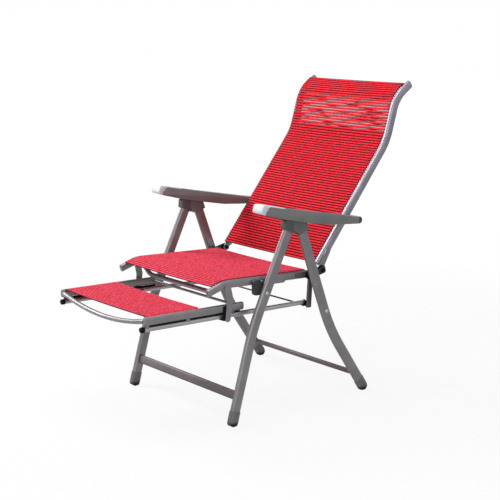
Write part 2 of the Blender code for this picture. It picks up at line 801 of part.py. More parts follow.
def front_hanger():
    """A steel plate from the seat rail down past the footrest rail."""
    circles = [
        (*HANGER_FRONT_FOOT, HANGER_FOOT_RADIUS), (*HANGER_FRONT_WAIST, HANGER_WAIST_RADIUS),
        (*HANGER_FRONT_TOP, HANGER_TOP_RADIUS),
    ]
    middle = (RAIL_OUTER + GAP + PLATE_OUTER) / 2
    lower = plate(belt(circles[:2], 8), middle, PLATE_THICK)
    upper = plate(belt(circles[1:], 8), middle, PLATE_THICK)
    return joined(lower, upper)


HANGER_REAR_X = RAIL_OUTER - HANGER_REAR_THICK / 2


def rear_hanger():
    """The seat's hinge plate and, welded to it, the bar that carries the slide tube's rear end."""
    path = [Vector(HANGER_REAR_FOOT), Vector(HANGER_REAR_TOP)]
    bar = oval_tube(path, HANGER_REAR_X, HANGER_REAR_WIDE, HANGER_REAR_THICK)
    weld = rod(RAIL_OUTER - WELD_DEPTH, RAIL_OUTER + WELD_DEPTH, HANGER_WELD_RADIUS, SEAT_PIVOT)
    return joined(bar, weld, seat_hinge_plate())


def hanger_rod():
    inner = HANGER_REAR_X - HANGER_REAR_THICK / 2 - GAP
    return rod(-inner, inner, ROD_RADIUS, ROD_PLACE, 12)


def on_slide(station, lift=0.0):
    """The place at a station along the slide, raised square to it."""
    along = Vector((cos(SLIDE_TILT), -sin(SLIDE_TILT)))
    return Vector((0, SLIDE_HEIGHT)) + along * station - square_to(along) * lift


def tilted(item, station=0.0):
    """Turn a piece made level about the slide's zero point into the slide's direction."""
    place = on_slide(station)
    turn = Matrix.Rotation(-SLIDE_TILT, 4, "X")
    item.matrix_world = Matrix.Translation((0, place.x, place.y)) @ turn @ item.matrix_world
    return item


def guide(station, outer_x, pad_top):
    """A plastic channel under the slide tube, with a pad up beside the footrest rail."""
    ring = SLIDE_TUBE_RADIUS + GAP
    half = GUIDE_LONG / 2
    low_x = SLIDE_TUBE_X - ring - GUIDE_WALL
    top = GUIDE_HOLD
    body = block((low_x, -half, -ring - GUIDE_WALL), (outer_x, half, top))
    if pad_top:
        pad = block((FOOT_RAIL_OUTER + GAP, -half, 0), (outer_x, half, pad_top))
        body = joined(body, pad)
    past = half + CUT_PAST
    bore = rod(-past, past, ring, (0, 0))
    place = Matrix.Translation((SLIDE_TUBE_X, 0, 0)) @ Matrix.Rotation(pi / 2, 4, "Z")
    bore.matrix_world = place @ bore.matrix_world
    slot_half = ring - GAP
    slot = block((SLIDE_TUBE_X - slot_half, -past, 0), (SLIDE_TUBE_X + slot_half, past, 2 * ring))
    return tilted(cut(cut(body, bore), slot), station)


# The footrest

def slide_tube():
    """A round tube with a cap in each end."""
    ends = [on_slide(SLIDE_TUBE_FRONT), on_slide(SLIDE_TUBE_REAR)]
    path, swell = plugged(ends, TUBE_PLUG, TUBE_PLUG)
    return round_tube(path, SLIDE_TUBE_RADIUS, SIDE_VIEW, (SLIDE_TUBE_X, 0, 0), swell=swell)


def footrest_rail():
    """A side rail with its end plugs and the spacers that its slide tube is welded to."""
    ends = [on_slide(FOOT_RAIL_FRONT, FOOT_RAIL_MIDDLE), on_slide(FOOT_RAIL_REAR, FOOT_RAIL_MIDDLE)]
    path, swell = plugged(ends, TUBE_PLUG, TUBE_PLUG)
    tube = oval_tube(path, FOOT_RAIL_X, FOOT_RAIL_DEEP, FOOT_RAIL_THICK, swell)
    return joined(tube, *[spacer(station) for station in SPACER_STATIONS])


def spacer(station):
    """A weld spacer between a slide tube and the rail above it."""
    low_x = FOOT_RAIL_INNER + SPACER_INSET
    half = SPACER_LONG / 2
    top = FOOT_RAIL_LIFT + SPACER_WELD
    body = block((low_x, -half, 0), (low_x + SPACER_WIDE, half, top))
    ends = [(-half - CUT_PAST, 0), (half + CUT_PAST, 0)]
    hollow = round_tube(ends, SLIDE_TUBE_RADIUS + GAP, SIDE_VIEW, (SLIDE_TUBE_X, 0, 0), 5)
    return tilted(cut(body, hollow), station)


def footrest_bow():
    """The front bar, bowed down between the rails, with a short level stub at each end."""
    ends = FOOT_RAIL_INNER - GAP
    span = ends - BOW_STUB
    place = on_slide(BOW_STATION, FOOT_RAIL_MIDDLE - BOW_LOWERED)
    path = [(-ends, place.y)]
    for step in range(17):
        share = step / 8 - 1
        path.append((span * share, place.y - BOW_DROP * (1 - share ** 2)))
    path.append((ends, place.y))
    return round_tube(path, BAR_RADIUS, FRONT_VIEW, (0, place.x, 0))


def footrest_rear_bar():
    place = on_slide(THIN_BAR_STATION, FOOT_RAIL_MIDDLE)
    ends = FOOT_RAIL_INNER - GAP
    return rod(-ends, ends, THIN_BAR_RADIUS, place, 12)


def footrest_sling():
    lift = FOOT_RAIL_LIFT + FOOT_RAIL_DEEP - SLING_SUNK - SLING_THICK / 2
    path = [on_slide(FOOT_SLING_FRONT, lift), on_slide(FOOT_SLING_REAR, lift)]
    return ribbed_sling(path, FOOT_RAIL_INNER - GAP)


# The back

BACK_PATH = rounded_path(
    [BACK_FOOT, BACK_NECK, BACK_CROWN, BACK_TOP], [BACK_NECK_RADIUS, BACK_CROWN_RADIUS], 6
)
BACK_UP = towards(BACK_PATH[0], BACK_PATH[1])
BACK_END = towards(BACK_PATH[-2], BACK_PATH[-1])


def back_plate():
    """A plate on the foot of a back tube, turning on the back's bolt."""
    high = Vector(BACK_FOOT) + BACK_UP * BACK_PLATE_LONG
    circles = [(*BACK_PIVOT, PIVOT_PLATE_RADIUS), (*high, BACK_PLATE_TOP_RADIUS)]
    middle = (RAIL_OUTER + GAP + PLATE_OUTER) / 2
    body = plate(belt(circles, 8), middle, PLATE_THICK)
    return cut(body, rod(RAIL_INNER, LEG_OUTER, PIVOT_PIN + GAP, BACK_PIVOT))


def back_top_bar():
    place = BACK_PATH[-1] - BACK_END * TOP_BAR_INSET
    ends = RAIL_INNER - GAP
    return rod(-ends, ends, TOP_BAR_RADIUS, place, 12)


def back_sling():
    lift = BACK_TUBE_WIDE / 2 - SLING_SUNK - SLING_THICK / 2
    path = offset_path(BACK_PATH, lift)
    path[0] += BACK_UP * BACK_SLING_START
    return ribbed_sling(path, RAIL_INNER - GAP)


# The armrests

def arm_line(y):
    """The height, at y, of the line from the arm's pivot to the leg hinge."""
    share = (y - HINGE[0]) / (ARM_PIVOT[0] - HINGE[0])
    return HINGE_HEIGHT + (ARM_PIVOT[1] - HINGE_HEIGHT) * share


def along_edge(edge, y):
    """The height of an edge line at y."""
    points = sorted(edge)
    for one, two in zip(points, points[1:]):
        if y <= two[0]:
            break
    return one[1] + (y - one[0]) * (two[1] - one[1]) / (two[0] - one[0])


def soft_plate(outline, middle_x, wide, edge):
    """A moulded block with its long edges rounded."""
    data = curve_of(outline, "soft", closed=True)
    data.fill_mode = "BOTH"
    data.extrude = wide / 2 - edge
    data.bevel_depth = edge
    data.bevel_resolution = 1
    data.offset = -edge
    item = bpy.data.objects.new("soft", data)
    item.rotation_euler = SIDE_VIEW
    item.location = (middle_x, 0, 0)
    return as_mesh(item)


def armrest():
    """The arm's hollow body, open below, with a bore for its pivot pin."""
    rear_centre = (ARM_REAR_END[0] - ARM_REAR_RADIUS, ARM_REAR_END[1])
    rear = arc(rear_centre, ARM_REAR_RADIUS, -70, 60, 4)
    outline = [Vector(p) for p in ARM_BOTTOM] + rear + [Vector(p) for p in ARM_TOP]
    body = soft_plate(outline, ARM_X, ARM_WIDE, ARM_EDGE)
    roof = [Vector((y, z - ARM_WALL)) for y, z in ARM_TOP]
    roof[-1] += towards(ARM_TOP[-1], ARM_TOP[-2]) * ARM_WALL
    front_foot = Vector((roof[-1].x - CUT_PAST, ARM_BOTTOM[0][1] - 2 * CUT_PAST))
    floor = [front_foot, Vector((roof[0].x, ARM_BOTTOM[-1][1] - 2 * CUT_PAST))]
    hollow = plate(roof + floor, ARM_X, ARM_WIDE - 2 * ARM_WALL)
    body = cut(body, hollow)
    inner_face = ARM_X - ARM_WIDE / 2
    bore = rod(inner_face - CUT_PAST, inner_face + CUT_PAST, PIVOT_PIN + GAP, ARM_PIVOT)
    return cut(body, bore)


def armrest_cap():
    """The pale cap on the front of an arm."""
    lean = towards(ARM_TOP[-1], ARM_BOTTOM[0])
    shift = Vector((-GAP, 0))
    top = Vector(ARM_TOP[-1]) + shift
    bottom = top + lean * (Vector(ARM_BOTTOM[0]) - Vector(ARM_TOP[-1])).length
    corners = [top, Vector(ARM_TIP_TOP), Vector(ARM_TIP_BOTTOM), bottom]
    outline = rounded_path(corners, [ARM_TIP_BROW, ARM_TIP_ROUND], 4)
    return soft_plate(outline, ARM_X, ARM_WIDE, ARM_EDGE)


def arm_rack():
    """The notched strip under the roof of an arm that rides over the knuckle."""
    count = round((RACK_REAR_Y - RACK_FRONT_Y) / RACK_PITCH)
    pitch = (RACK_REAR_Y - RACK_FRONT_Y) / count
    outline = []
    for tooth in range(count):
        for share, rise in ((0.0, 0), (0.45, 0), (0.6, RACK_TOOTH), (0.85, RACK_TOOTH)):
            y = RACK_FRONT_Y + pitch * (tooth + share)
            outline.append(Vector((y, arm_line(y) + KNUCKLE_TOP + RACK_CLEAR + rise)))
    outline.append(Vector((RACK_REAR_Y, arm_line(RACK_REAR_Y) + KNUCKLE_TOP + RACK_CLEAR)))
    roof_ys = [RACK_REAR_Y] + [y for y, z in ARM_TOP if RACK_FRONT_Y < y < RACK_REAR_Y]
    for y in roof_ys + [RACK_FRONT_Y]:
        outline.append(Vector((y, along_edge(ARM_TOP, y) - ARM_WALL - GAP)))
    return plate(outline, ARM_X, RACK_THICK)


def arm_pin():
    """The arm's pivot: a flange on the back tube, a shank and a head inside the arm."""
    flange = ARM_X - ARM_WIDE / 2 - GAP
    head = ARM_X - ARM_WIDE / 2 + ARM_WALL + GAP
    top = head + ARM_PIN_HEAD_THICK
    profile = [(top, 0), (top, ARM_PIN_HEAD), (head, ARM_PIN_HEAD)]
    profile += [(head, PIVOT_PIN), (flange, PIVOT_PIN), (flange, ARM_PIN_FLANGE)]
    profile += [(RAIL_OUTER + GAP, ARM_PIN_FLANGE), (RAIL_OUTER + GAP, 0)]
    return turned(profile, ARM_PIVOT)


# Assembly

def hold(name, place, parent, pieces):
    """Parent pieces to an empty on their joint's axis, where they stand."""
    axis = bpy.data.objects.new(name, None)
    PARTS.objects.link(axis)
    axis.location = (0, *place)
    bpy.context.view_layer.update()
    if parent:
        axis.parent = parent
        axis.matrix_parent_inverse = parent.matrix_world.inverted()
        bpy.context.view_layer.update()
    for piece in pieces:
        piece.parent = axis
        piece.matrix_parent_inverse = axis.matrix_world.inverted()
    return axis


def alone(item, name, look):
    return [link(item, name, look)]


def rear_frame():
    tube = leg(REAR_AXIS, REAR_MOUTH, REAR_UP)
    bar = crossbar(REAR_AXIS, REAR_CROSSBAR_HEIGHT, REAR_CROSSBAR_DEEP)
    pieces = both_sides(tube, "rear_leg", SILVER)
    pieces += alone(bar, "rear_crossbar", SILVER)
    pieces += both_sides(foot(REAR_AXIS), "rear_foot", RUBBER)
    pieces += both_sides(rear_knuckle(), "rear_knuckle", MOULDED)
    pieces += both_sides(knuckle_pin(), "knuckle_pin", STEEL)
    pieces += both_sides(hinge_plate(), "hinge_plate", STEEL)
    pieces += both_sides(hinge_bracket(), "hinge_bracket", MOULDED)
    pieces += both_sides(back_bolt(), "back_bolt", BLACK)
    return hold("rear_frame_base", (0, 0), None, pieces)


def front_frame(parent):
    tube = leg(FRONT_AXIS, FRONT_MOUTH, FRONT_UP)
    bar = crossbar(FRONT_AXIS, FRONT_CROSSBAR_HEIGHT, FRONT_CROSSBAR_DEEP)
    pieces = both_sides(tube, "front_leg", SILVER)
    pieces += alone(bar, "front_crossbar", SILVER)
    pieces += both_sides(foot(FRONT_AXIS), "front_foot", RUBBER)
    pieces += both_sides(front_knuckle(), "front_knuckle", MOULDED)
    pieces += both_sides(saddle(), "seat_saddle", MOULDED)
    return hold("leg_fold_axis", HINGE, parent, pieces)


def seat(parent):
    pieces = both_sides(seat_rail(), "seat_rail", SILVER)
    pieces += alone(seat_front_bar(), "seat_front_bar", SILVER)
    pieces += alone(seat_sling(), "seat_sling", FABRIC)
    pieces += both_sides(front_hanger(), "front_hanger", SILVER)
    pieces += both_sides(rear_hanger(), "rear_hanger", SILVER)
    pieces += alone(hanger_rod(), "hanger_rod", STEEL)
    front = guide(FRONT_GUIDE_STATION, RAIL_OUTER, FOOT_RAIL_LIFT + GUIDE_PAD)
    rear = guide(REAR_GUIDE_STATION, RAIL_OUTER - HANGER_REAR_THICK - GAP, 0)
    pieces += both_sides(front, "front_guide", BLACK)
    pieces += both_sides(rear, "rear_guide", BLACK)
    return hold("seat_axis", SEAT_PIVOT, parent, pieces)


def footrest(parent):
    pieces = both_sides(footrest_rail(), "footrest_rail", SILVER)
    pieces += both_sides(slide_tube(), "slide_tube", SILVER)
    pieces += alone(footrest_bow(), "footrest_bow", SILVER)
    pieces += alone(footrest_rear_bar(), "footrest_rear_bar", SILVER)
    pieces += alone(footrest_sling(), "footrest_sling", FABRIC)
    return hold("footrest_slide", on_slide(0), parent, pieces)


def back(parent):
    path, swell = plugged(BACK_PATH, TUBE_PLUG, TUBE_PLUG)
    tube = oval_tube(path, RAIL_X, BACK_TUBE_WIDE, RAIL_THICK, swell)
    pieces = both_sides(tube, "back_tube", SILVER)
    pieces += both_sides(back_plate(), "back_plate", SILVER)
    pieces += alone(back_top_bar(), "back_top_bar", SILVER)
    pieces += alone(back_sling(), "back_sling", FABRIC)
    pieces += both_sides(arm_pin(), "armrest_pin", STEEL)
    return hold("recline_axis", BACK_PIVOT, parent, pieces)


def armrests(parent):
    arms = both_sides(armrest(), "armrest", ARM_GREY)
    caps = both_sides(armrest_cap(), "armrest_cap", CAP_GREY)
    racks = both_sides(arm_rack(), "arm_rack", STEEL)
    for side, arm, cap, rack in zip(("left", "right"), arms, caps, racks):
        hold(f"armrest_axis_{side}", ARM_PIVOT, parent, [arm, cap, rack])


def shade_round_pieces():
    for item in PARTS.objects:
        if item.type == "MESH":
            item.data.shade_smooth()
            item.data.set_sharp_from_angle(angle=radians(35))


def main():
    base = rear_frame()
    front_frame(base)
    seat_axis = seat(base)
    footrest(seat_axis)
    recline_axis = back(base)
    armrests(recline_axis)
    shade_round_pieces()


main()
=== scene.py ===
"""Looks of the folding recliner: frame tubes, moulded parts, corded slings, light and camera."""

import json
import logging
from dataclasses import dataclass
from enum import Enum
from functools import cache
from math import atan2, cos, hypot, pi, radians, sin, tan
from typing import Any, Iterable, Optional, Sequence

import bmesh
import bpy
from mathutils import Euler, Matrix, Vector

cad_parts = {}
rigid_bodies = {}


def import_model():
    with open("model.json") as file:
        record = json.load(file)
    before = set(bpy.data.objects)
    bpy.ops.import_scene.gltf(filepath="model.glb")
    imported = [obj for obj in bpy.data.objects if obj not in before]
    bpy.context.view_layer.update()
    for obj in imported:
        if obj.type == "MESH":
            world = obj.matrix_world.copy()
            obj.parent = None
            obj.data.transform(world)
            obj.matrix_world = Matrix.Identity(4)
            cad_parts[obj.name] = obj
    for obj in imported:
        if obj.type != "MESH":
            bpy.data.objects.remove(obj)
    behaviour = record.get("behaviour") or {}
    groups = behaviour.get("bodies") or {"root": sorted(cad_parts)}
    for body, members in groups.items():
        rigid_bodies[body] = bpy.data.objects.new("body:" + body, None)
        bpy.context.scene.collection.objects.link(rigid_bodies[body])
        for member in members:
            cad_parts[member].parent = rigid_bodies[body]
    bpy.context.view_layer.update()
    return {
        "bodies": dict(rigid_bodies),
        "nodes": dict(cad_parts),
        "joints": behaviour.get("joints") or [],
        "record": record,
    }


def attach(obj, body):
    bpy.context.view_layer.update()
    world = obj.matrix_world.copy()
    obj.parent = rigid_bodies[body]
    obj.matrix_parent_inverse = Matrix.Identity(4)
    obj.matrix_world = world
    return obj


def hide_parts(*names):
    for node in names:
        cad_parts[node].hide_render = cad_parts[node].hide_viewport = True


LOG = logging.getLogger("recliner")
FRAME: dict = {}

# Sizes that several pieces share, in metres, and the scale of a tube's section at a rounded
# tip. A place in the side view is (y, z).
HINGE_HEIGHT = 0.616
LEG_X = 0.275
LEG_WIDE = 0.037
LEG_THICK = 0.018
SEAT_PIVOT = (0.100, 0.443)
BACK_PIVOT = (0.1336, 0.450)
SLIDE_HEIGHT = 0.3451
SLIDE_TILT = radians(1.64)
SLIDE_ALONG = Vector((cos(SLIDE_TILT), -sin(SLIDE_TILT)))
SLIDE_UP = Vector((sin(SLIDE_TILT), cos(SLIDE_TILT)))
CORD_PITCH = 0.010
CLEAR = 0.0004
TIP_SCALE = 0.82
SIDES = (("left", 1), ("right", -1))

# Merging distances: fine for a sheet's points, wider for a CAD node's loose triangles
TINY = 0.0000005
LOOSE = 0.000004

# Degrees: CAD triangles that meet under the first are joined, edges over the second rounded
FLAT_ANGLE = 1.2
SHARP_ANGLE = 32.0


class Slot(Enum):
    """The record's material slots."""

    PAINT = "silver_paint"
    STEEL = "plated_steel"
    MOULDED = "moulded_plastic"
    BLACK = "black_plastic"
    RUBBER = "rubber"
    FABRIC = "mesh_fabric"
    ARM = "arm_plastic"
    CAP = "pale_plastic"


class Body(Enum):
    """The bodies that move on their own."""

    REAR = "rear_frame"
    FRONT = "front_frame"
    SEAT = "seat"
    FOOTREST = "footrest"
    BACK = "back"
    ARM_LEFT = "armrest_left"
    ARM_RIGHT = "armrest_right"


# Node trees


class Sock:
    """A node's output that can be used in sums like a number."""

    SOFT = {"interpolation_type": "SMOOTHSTEP"}

    def __init__(self, graph: "Graph", socket: Any) -> None:
        """Wrap one output of a tree, or a plain number."""
        self.graph = graph
        self.socket = socket

    def math(self, kind: str, *others: Any) -> "Sock":
        """The result of one Math operation on this and further operands."""
        inputs = dict(enumerate((self, *others)))
        return self.graph.node("ShaderNodeMath", {"operation": kind}, inputs)

    def plain(self, number: float) -> "Sock":
        """A plain number that stands first in a sum."""
        return Sock(self.graph, number)

    def __add__(self, other: Any) -> "Sock":
        """The sum."""
        return self.math("ADD", other)

    __radd__ = __add__

    def __sub__(self, other: Any) -> "Sock":
        """The difference."""
        return self.math("SUBTRACT", other)

    def __rsub__(self, other: Any) -> "Sock":
        """The difference from a number."""
        return self.plain(other).math("SUBTRACT", self)

    def __mul__(self, other: Any) -> "Sock":
        """The product."""
        return self.math("MULTIPLY", other)

    __rmul__ = __mul__

    def __truediv__(self, other: Any) -> "Sock":
        """The quotient."""
        return self.math("DIVIDE", other)

    def __rtruediv__(self, other: Any) -> "Sock":
        """A number divided by this."""
        return self.plain(other).math("DIVIDE", self)

    def __pow__(self, other: Any) -> "Sock":
        """This to a power."""
        return self.math("POWER", other)

    def __rpow__(self, other: Any) -> "Sock":
        """A number to the power of this."""
        return self.plain(other).math("POWER", self)

    def smooth(self, low: float, high: float) -> "Sock":
        """A soft step from 0 at low to 1 at high."""
        inputs = {"Value": self, "From Min": low, "From Max": high}
        return self.graph.node("ShaderNodeMapRange", self.SOFT, inputs)

    def root(self) -> "Sock":
        """The square root, or 0 below 0."""
        return self.math("MAXIMUM", 0.0) ** 0.5

    def sibling(self, name: str) -> "Sock":
        """Another output of the same node."""
        return Sock(self.graph, self.socket.node.outputs[name])


class Graph:
    """A node tree with one way to add any node."""

    def __init__(self, tree: Any) -> None:
        """Hold a shader or geometry node tree."""
        self.tree = tree

    def link(self, value: Any, socket: Any) -> None:
        """Link a socket to an input, or set the input to a constant.

        Args:
            value: A socket or a constant.
            socket: The input.
        """
        if isinstance(value, Sock) and hasattr(value.socket, "node"):
            self.tree.links.new(value.socket, socket)
        else:
            socket.default_value = value.socket if isinstance(value, Sock) else value

    def node(
        self, kind: str, settings: Optional[dict] = None, inputs: Optional[dict] = None,
        out: Any = 0,
    ) -> Sock:
        """Add a node.

        Args:
            kind: The node's type.
            settings: Its properties.
            inputs: Values or sockets by input name or index.
            out: The output that is returned, by name or index.

        Returns:
            The chosen output.
        """
        node = self.tree.nodes.new(kind)
        for name, value in (settings or {}).items():
            setattr(node, name, value)
        for name, value in (inputs or {}).items():
            self.link(value, node.inputs[name])
        return Sock(self, node.outputs[out])

    def split(self, vector: Any, out: str = "X") -> Sock:
        """One part of a vector, whose siblings are the others."""
        return self.node("ShaderNodeSeparateXYZ", inputs={0: vector}, out=out)

    def light_path(self) -> tuple:
        """Three outputs that are 1 for camera, glossy and transmission rays."""
        seen = self.node("ShaderNodeLightPath", out="Is Camera Ray")
        return seen, seen.sibling("Is Glossy Ray"), seen.sibling("Is Transmission Ray")


class ShaderGraph(Graph):
    """A material's tree with its Principled shader."""

    # The places of Mix's colour sockets, which share their names with its other kinds
    FACTOR, FIRST, SECOND, COLOUR = 0, 6, 7, 2

    def __init__(self, name: str) -> None:
        """Make a material.

        Args:
            name: Its name.
        """
        self.material = bpy.data.materials.new(name)
        self.material.use_nodes = True
        super().__init__(self.material.node_tree)
        self.shader = self.tree.nodes["Principled BSDF"]
        self.place = self.node("ShaderNodeTexCoord", out="Object")

    def feed(self, name: str, value: Any) -> None:
        """Set or link one input of the shader."""
        self.link(value, self.shader.inputs[name])

    def noise(
        self, scale: float, detail: float = 2.0, stretch: Sequence[float] = (1, 1, 1)
    ) -> Sock:
        """Noise on the object's own coordinates.

        Args:
            scale: Waves per metre.
            detail: Octaves.
            stretch: Scale of each axis.

        Returns:
            The factor.
        """
        mapped = self.node("ShaderNodeMapping", inputs={"Vector": self.place, "Scale": stretch})
        inputs = {"Vector": mapped, "Scale": scale, "Detail": detail}
        return self.node("ShaderNodeTexNoise", inputs=inputs)

    def blend(self, share: Any, one: Any, two: Any) -> Sock:
        """Two colours mixed, where a share of 0 gives the first and 1 the second."""
        inputs = {self.FACTOR: share, self.FIRST: one, self.SECOND: two}
        return self.node("ShaderNodeMix", {"data_type": "RGBA"}, inputs, self.COLOUR)

    def bump(self, height: Sock, strength: float, distance: float) -> None:
        """Link a bump of a strength from 0 to 1 and a depth in metres to the shader."""
        inputs = {"Height": height, "Strength": strength, "Distance": distance}
        self.feed("Normal", self.node("ShaderNodeBump", inputs=inputs))


# Finishes


def tone(red: float, green: float, blue: float) -> tuple:
    """A colour for a socket, from linear parts."""
    return (red, green, blue, 1.0)


@dataclass(frozen=True)
class SolidFinish:
    """Paint, metal, rubber or moulded plastic.

    Its two colours lie in soft patches. The roughness follows them by smear, and a fine grain
    adds a little to it and to the bump.
    """

    name: str
    slot: Slot
    colour: tuple
    other: tuple
    roughness: float
    metallic: float = 0.0
    smear: float = 0.10
    shine: float = 0.5
    grain: float = 900.0
    grain_rough: float = 0.06
    grain_bump: float = 0.35
    grain_depth: float = 0.00004
    patch: float = 14.0
    patch_detail: float = 4.0
    patch_range: tuple = (0.3, 0.7)

    def tint(self, graph: ShaderGraph, base: Sock) -> Sock:
        """What the finish puts over its two colours: nothing here."""
        return base

    def make(self) -> Any:
        """Build the material.

        Returns:
            The material.
        """
        graph = ShaderGraph(self.name)
        patches = graph.noise(self.patch, self.patch_detail)
        grain = graph.noise(self.grain)
        share = patches.smooth(*self.patch_range)
        base = graph.blend(share, self.colour, self.other)
        level = self.roughness - (self.smear + self.grain_rough) / 2
        graph.feed("Base Color", self.tint(graph, base))
        graph.feed("Roughness", patches * self.smear + grain * self.grain_rough + level)
        graph.feed("Metallic", self.metallic)
        graph.feed("Specular IOR Level", self.shine)
        graph.bump(grain, self.grain_bump, self.grain_depth)
        return graph.material


@dataclass(frozen=True)
class ArmFinish(SolidFinish):
    """A moulding with a black rear end and a pale rim along its front top edge.

    The top edge is a straight line from rim_corner at rim_slope. Its front end is rounded by the
    radius corner from corner_y on.
    """

    end_y: float = 0.2655
    end_soft: float = 0.003
    end_colour: tuple = tone(0.010, 0.010, 0.011)
    rim_y: float = -0.058
    rim_soft: float = 0.012
    rim_corner: tuple = (-0.0672, 0.6861)
    rim_slope: float = -0.2235
    rim_deep: float = 0.0032
    rim_edge: float = 0.0006
    rim_colour: tuple = tone(0.62, 0.66, 0.70)
    corner_y: float = -0.1350
    corner: float = 0.015

    def tint(self, graph: ShaderGraph, base: Sock) -> Sock:
        """The rim and the black end over the grey.

        Args:
            graph: The material's tree.
            base: The grey.

        Returns:
            The colour.
        """
        place = graph.split(graph.place, "Y")
        ended = place.smooth(self.end_y, self.end_y + self.end_soft)
        edge = (place - self.rim_corner[0]) * self.rim_slope + self.rim_corner[1]
        short = 1.0 - ((place - self.corner_y) / self.corner).math("MINIMUM", 1.0)
        round_by = (1.0 - (1.0 - short * short).root()) * self.corner
        level = edge - place.sibling("Z") - round_by
        near = 1.0 - level.smooth(self.rim_deep - self.rim_edge, self.rim_deep)
        front = 1.0 - place.smooth(self.rim_y - self.rim_soft, self.rim_y)
        rimmed = graph.blend(near * front, base, self.rim_colour)
        return graph.blend(ended, rimmed, self.end_colour)


@dataclass(frozen=True)
class FootFinish(SolidFinish):
    """Grey rubber that is black towards the bottom, up to an uneven line."""

    sole_from: float = 0.0096
    sole_to: float = 0.024
    sole_colour: tuple = tone(0.006, 0.006, 0.006)
    sole_edge_wobble: float = 60.0
    sole_edge_detail: float = 3.0
    sole_edge_reach: float = 0.010

    def tint(self, graph: ShaderGraph, base: Sock) -> Sock:
        """Black towards the bottom, under the grey.

        Args:
            graph: The material's tree.
            base: The grey.

        Returns:
            The colour.
        """
        sole_edge_wobble = graph.noise(self.sole_edge_wobble, self.sole_edge_detail) * self.sole_edge_reach
        height = graph.split(graph.place, "Z") + sole_edge_wobble
        above = height.smooth(self.sole_from, self.sole_to)
        return graph.blend(above, self.sole_colour, base)


@dataclass(frozen=True)
class CordFinish:
    """Elastic cords side by side, knitted from two reds, with painted shade darkening the
    grooves between them and a painted shadow along both edges.

    From gap_from to gap_to along the sheet, some grooves are open.
    """

    name: str
    slot: Slot
    colour: tuple
    light: tuple
    # The colour in the grooves and how far it reaches over the cords: painted shade
    groove_shade: tuple
    groove_shade_wide: float
    mottle: float
    gap_from: float = 9.0
    gap_to: float = 9.1
    gap_open: float = 0.8
    # A near-black band along both edges from rim on: a painted shadow where the sling goes into
    # its slot
    rim: float = 0.2380
    rim_soft: float = 0.0012
    rim_colour: tuple = tone(0.012, 0.002, 0.003)
    roughness: float = 0.74
    shine: float = 0.08
    stitches: float = 160.0
    stitch_shift: float = 0.37
    stitch_start: tuple = (0.15, 0.45)
    stitch_stop: tuple = (0.6, 0.95)
    stitch_shade: float = 0.45
    stitch_bump: float = 0.6
    knit: float = 1400.0
    knit_shade: float = 0.2
    knit_bump: float = 0.4
    knit_rough: float = 0.1
    fleck: float = 120.0
    fleck_stretch: tuple = (1.0, 2.2, 2.2)
    fleck_range: tuple = (0.36, 0.64)
    shade_range: tuple = (0.15, 0.85)
    groove_shade_start: float = 0.04
    gap_soft: tuple = (0.02, 0.03)
    gap_crest: tuple = (0.16, 0.34)
    streak: float = 12.0
    streak_stretch: tuple = (1.0, 12.0, 12.0)
    streak_range: tuple = (0.34, 0.52)
    bump: float = 0.45
    bump_deep: float = 0.0004

    def make(self) -> Any:
        """Build the material on the sheet's own cord coordinates.

        Returns:
            The material.
        """
        graph = ShaderGraph(self.name)
        cord = graph.node("ShaderNodeAttribute", {"attribute_name": "cord"}, out="Vector")
        across = graph.split(cord)
        along = across.sibling("Y")
        rib = along / CORD_PITCH
        crest = 1.0 - (rib.math("FRACT") * 2.0 - 1.0).math("ABSOLUTE")
        dash = (across * self.stitches + rib.math("FLOOR") * self.stitch_shift).math("FRACT")
        stitch = dash.smooth(*self.stitch_start) * (1.0 - dash.smooth(*self.stitch_stop))
        knit = graph.noise(self.knit)
        fleck = graph.noise(self.fleck, stretch=self.fleck_stretch).smooth(*self.fleck_range)
        shade = fleck * self.mottle + stitch * self.stitch_shade + knit * self.knit_shade
        body = graph.blend(shade.smooth(*self.shade_range), self.colour, self.light)
        # Painted shade: the grooves between the cords are darkened
        groove_shade_mask = 1.0 - crest.smooth(self.groove_shade_start, self.groove_shade_wide)
        body = graph.blend(groove_shade_mask, body, self.groove_shade)
        # Painted shadow along both edges of the sheet
        rim = across.math("ABSOLUTE").smooth(self.rim - self.rim_soft, self.rim)
        region = along.smooth(self.gap_from, self.gap_from + self.gap_soft[0])
        region = region * (1.0 - along.smooth(self.gap_to - self.gap_soft[1], self.gap_to))
        streak = graph.noise(self.streak, stretch=self.streak_stretch)
        streak = streak.smooth(*self.streak_range)
        gap = region * streak * (1.0 - crest.smooth(*self.gap_crest))
        graph.feed("Base Color", graph.blend(rim, body, self.rim_colour))
        graph.feed("Roughness", knit * self.knit_rough + self.roughness)
        graph.feed("Specular IOR Level", self.shine)
        graph.feed("Alpha", 1.0 - gap * self.gap_open)
        height = stitch * self.stitch_bump + knit * self.knit_bump
        graph.bump(height, self.bump, self.bump_deep)
        return graph.material


PAINT = SolidFinish(
    "grey_paint", Slot.PAINT, tone(0.198, 0.191, 0.200), tone(0.245, 0.236, 0.247), 0.30, 0.45
)
# A lighter, bluer and shinier copy of the grey paint for the back tubes, for their highlight:
# painted light
BACK_PAINT_PAINTED_LIGHT = SolidFinish(
    "light_grey_paint", Slot.PAINT,
    tone(0.240, 0.232, 0.280), tone(0.290, 0.280, 0.330), 0.25, 0.6, grain_depth=0.000008,
)
# A lighter copy of the grey paint, so the slide tubes in the shade under the rails look lit:
# painted light
SLIDE_PAINT_PAINTED_LIGHT = SolidFinish(
    "bright_paint", Slot.PAINT, tone(0.36, 0.35, 0.36), tone(0.42, 0.41, 0.42), 0.26, 0.6
)
# A darker, rougher copy of the grey paint for the crossbars: painted shade
BAR_PAINT_PAINTED_SHADE = SolidFinish(
    "bar_paint", Slot.PAINT, tone(0.120, 0.100, 0.106), tone(0.155, 0.134, 0.140), 0.5, 0.2
)
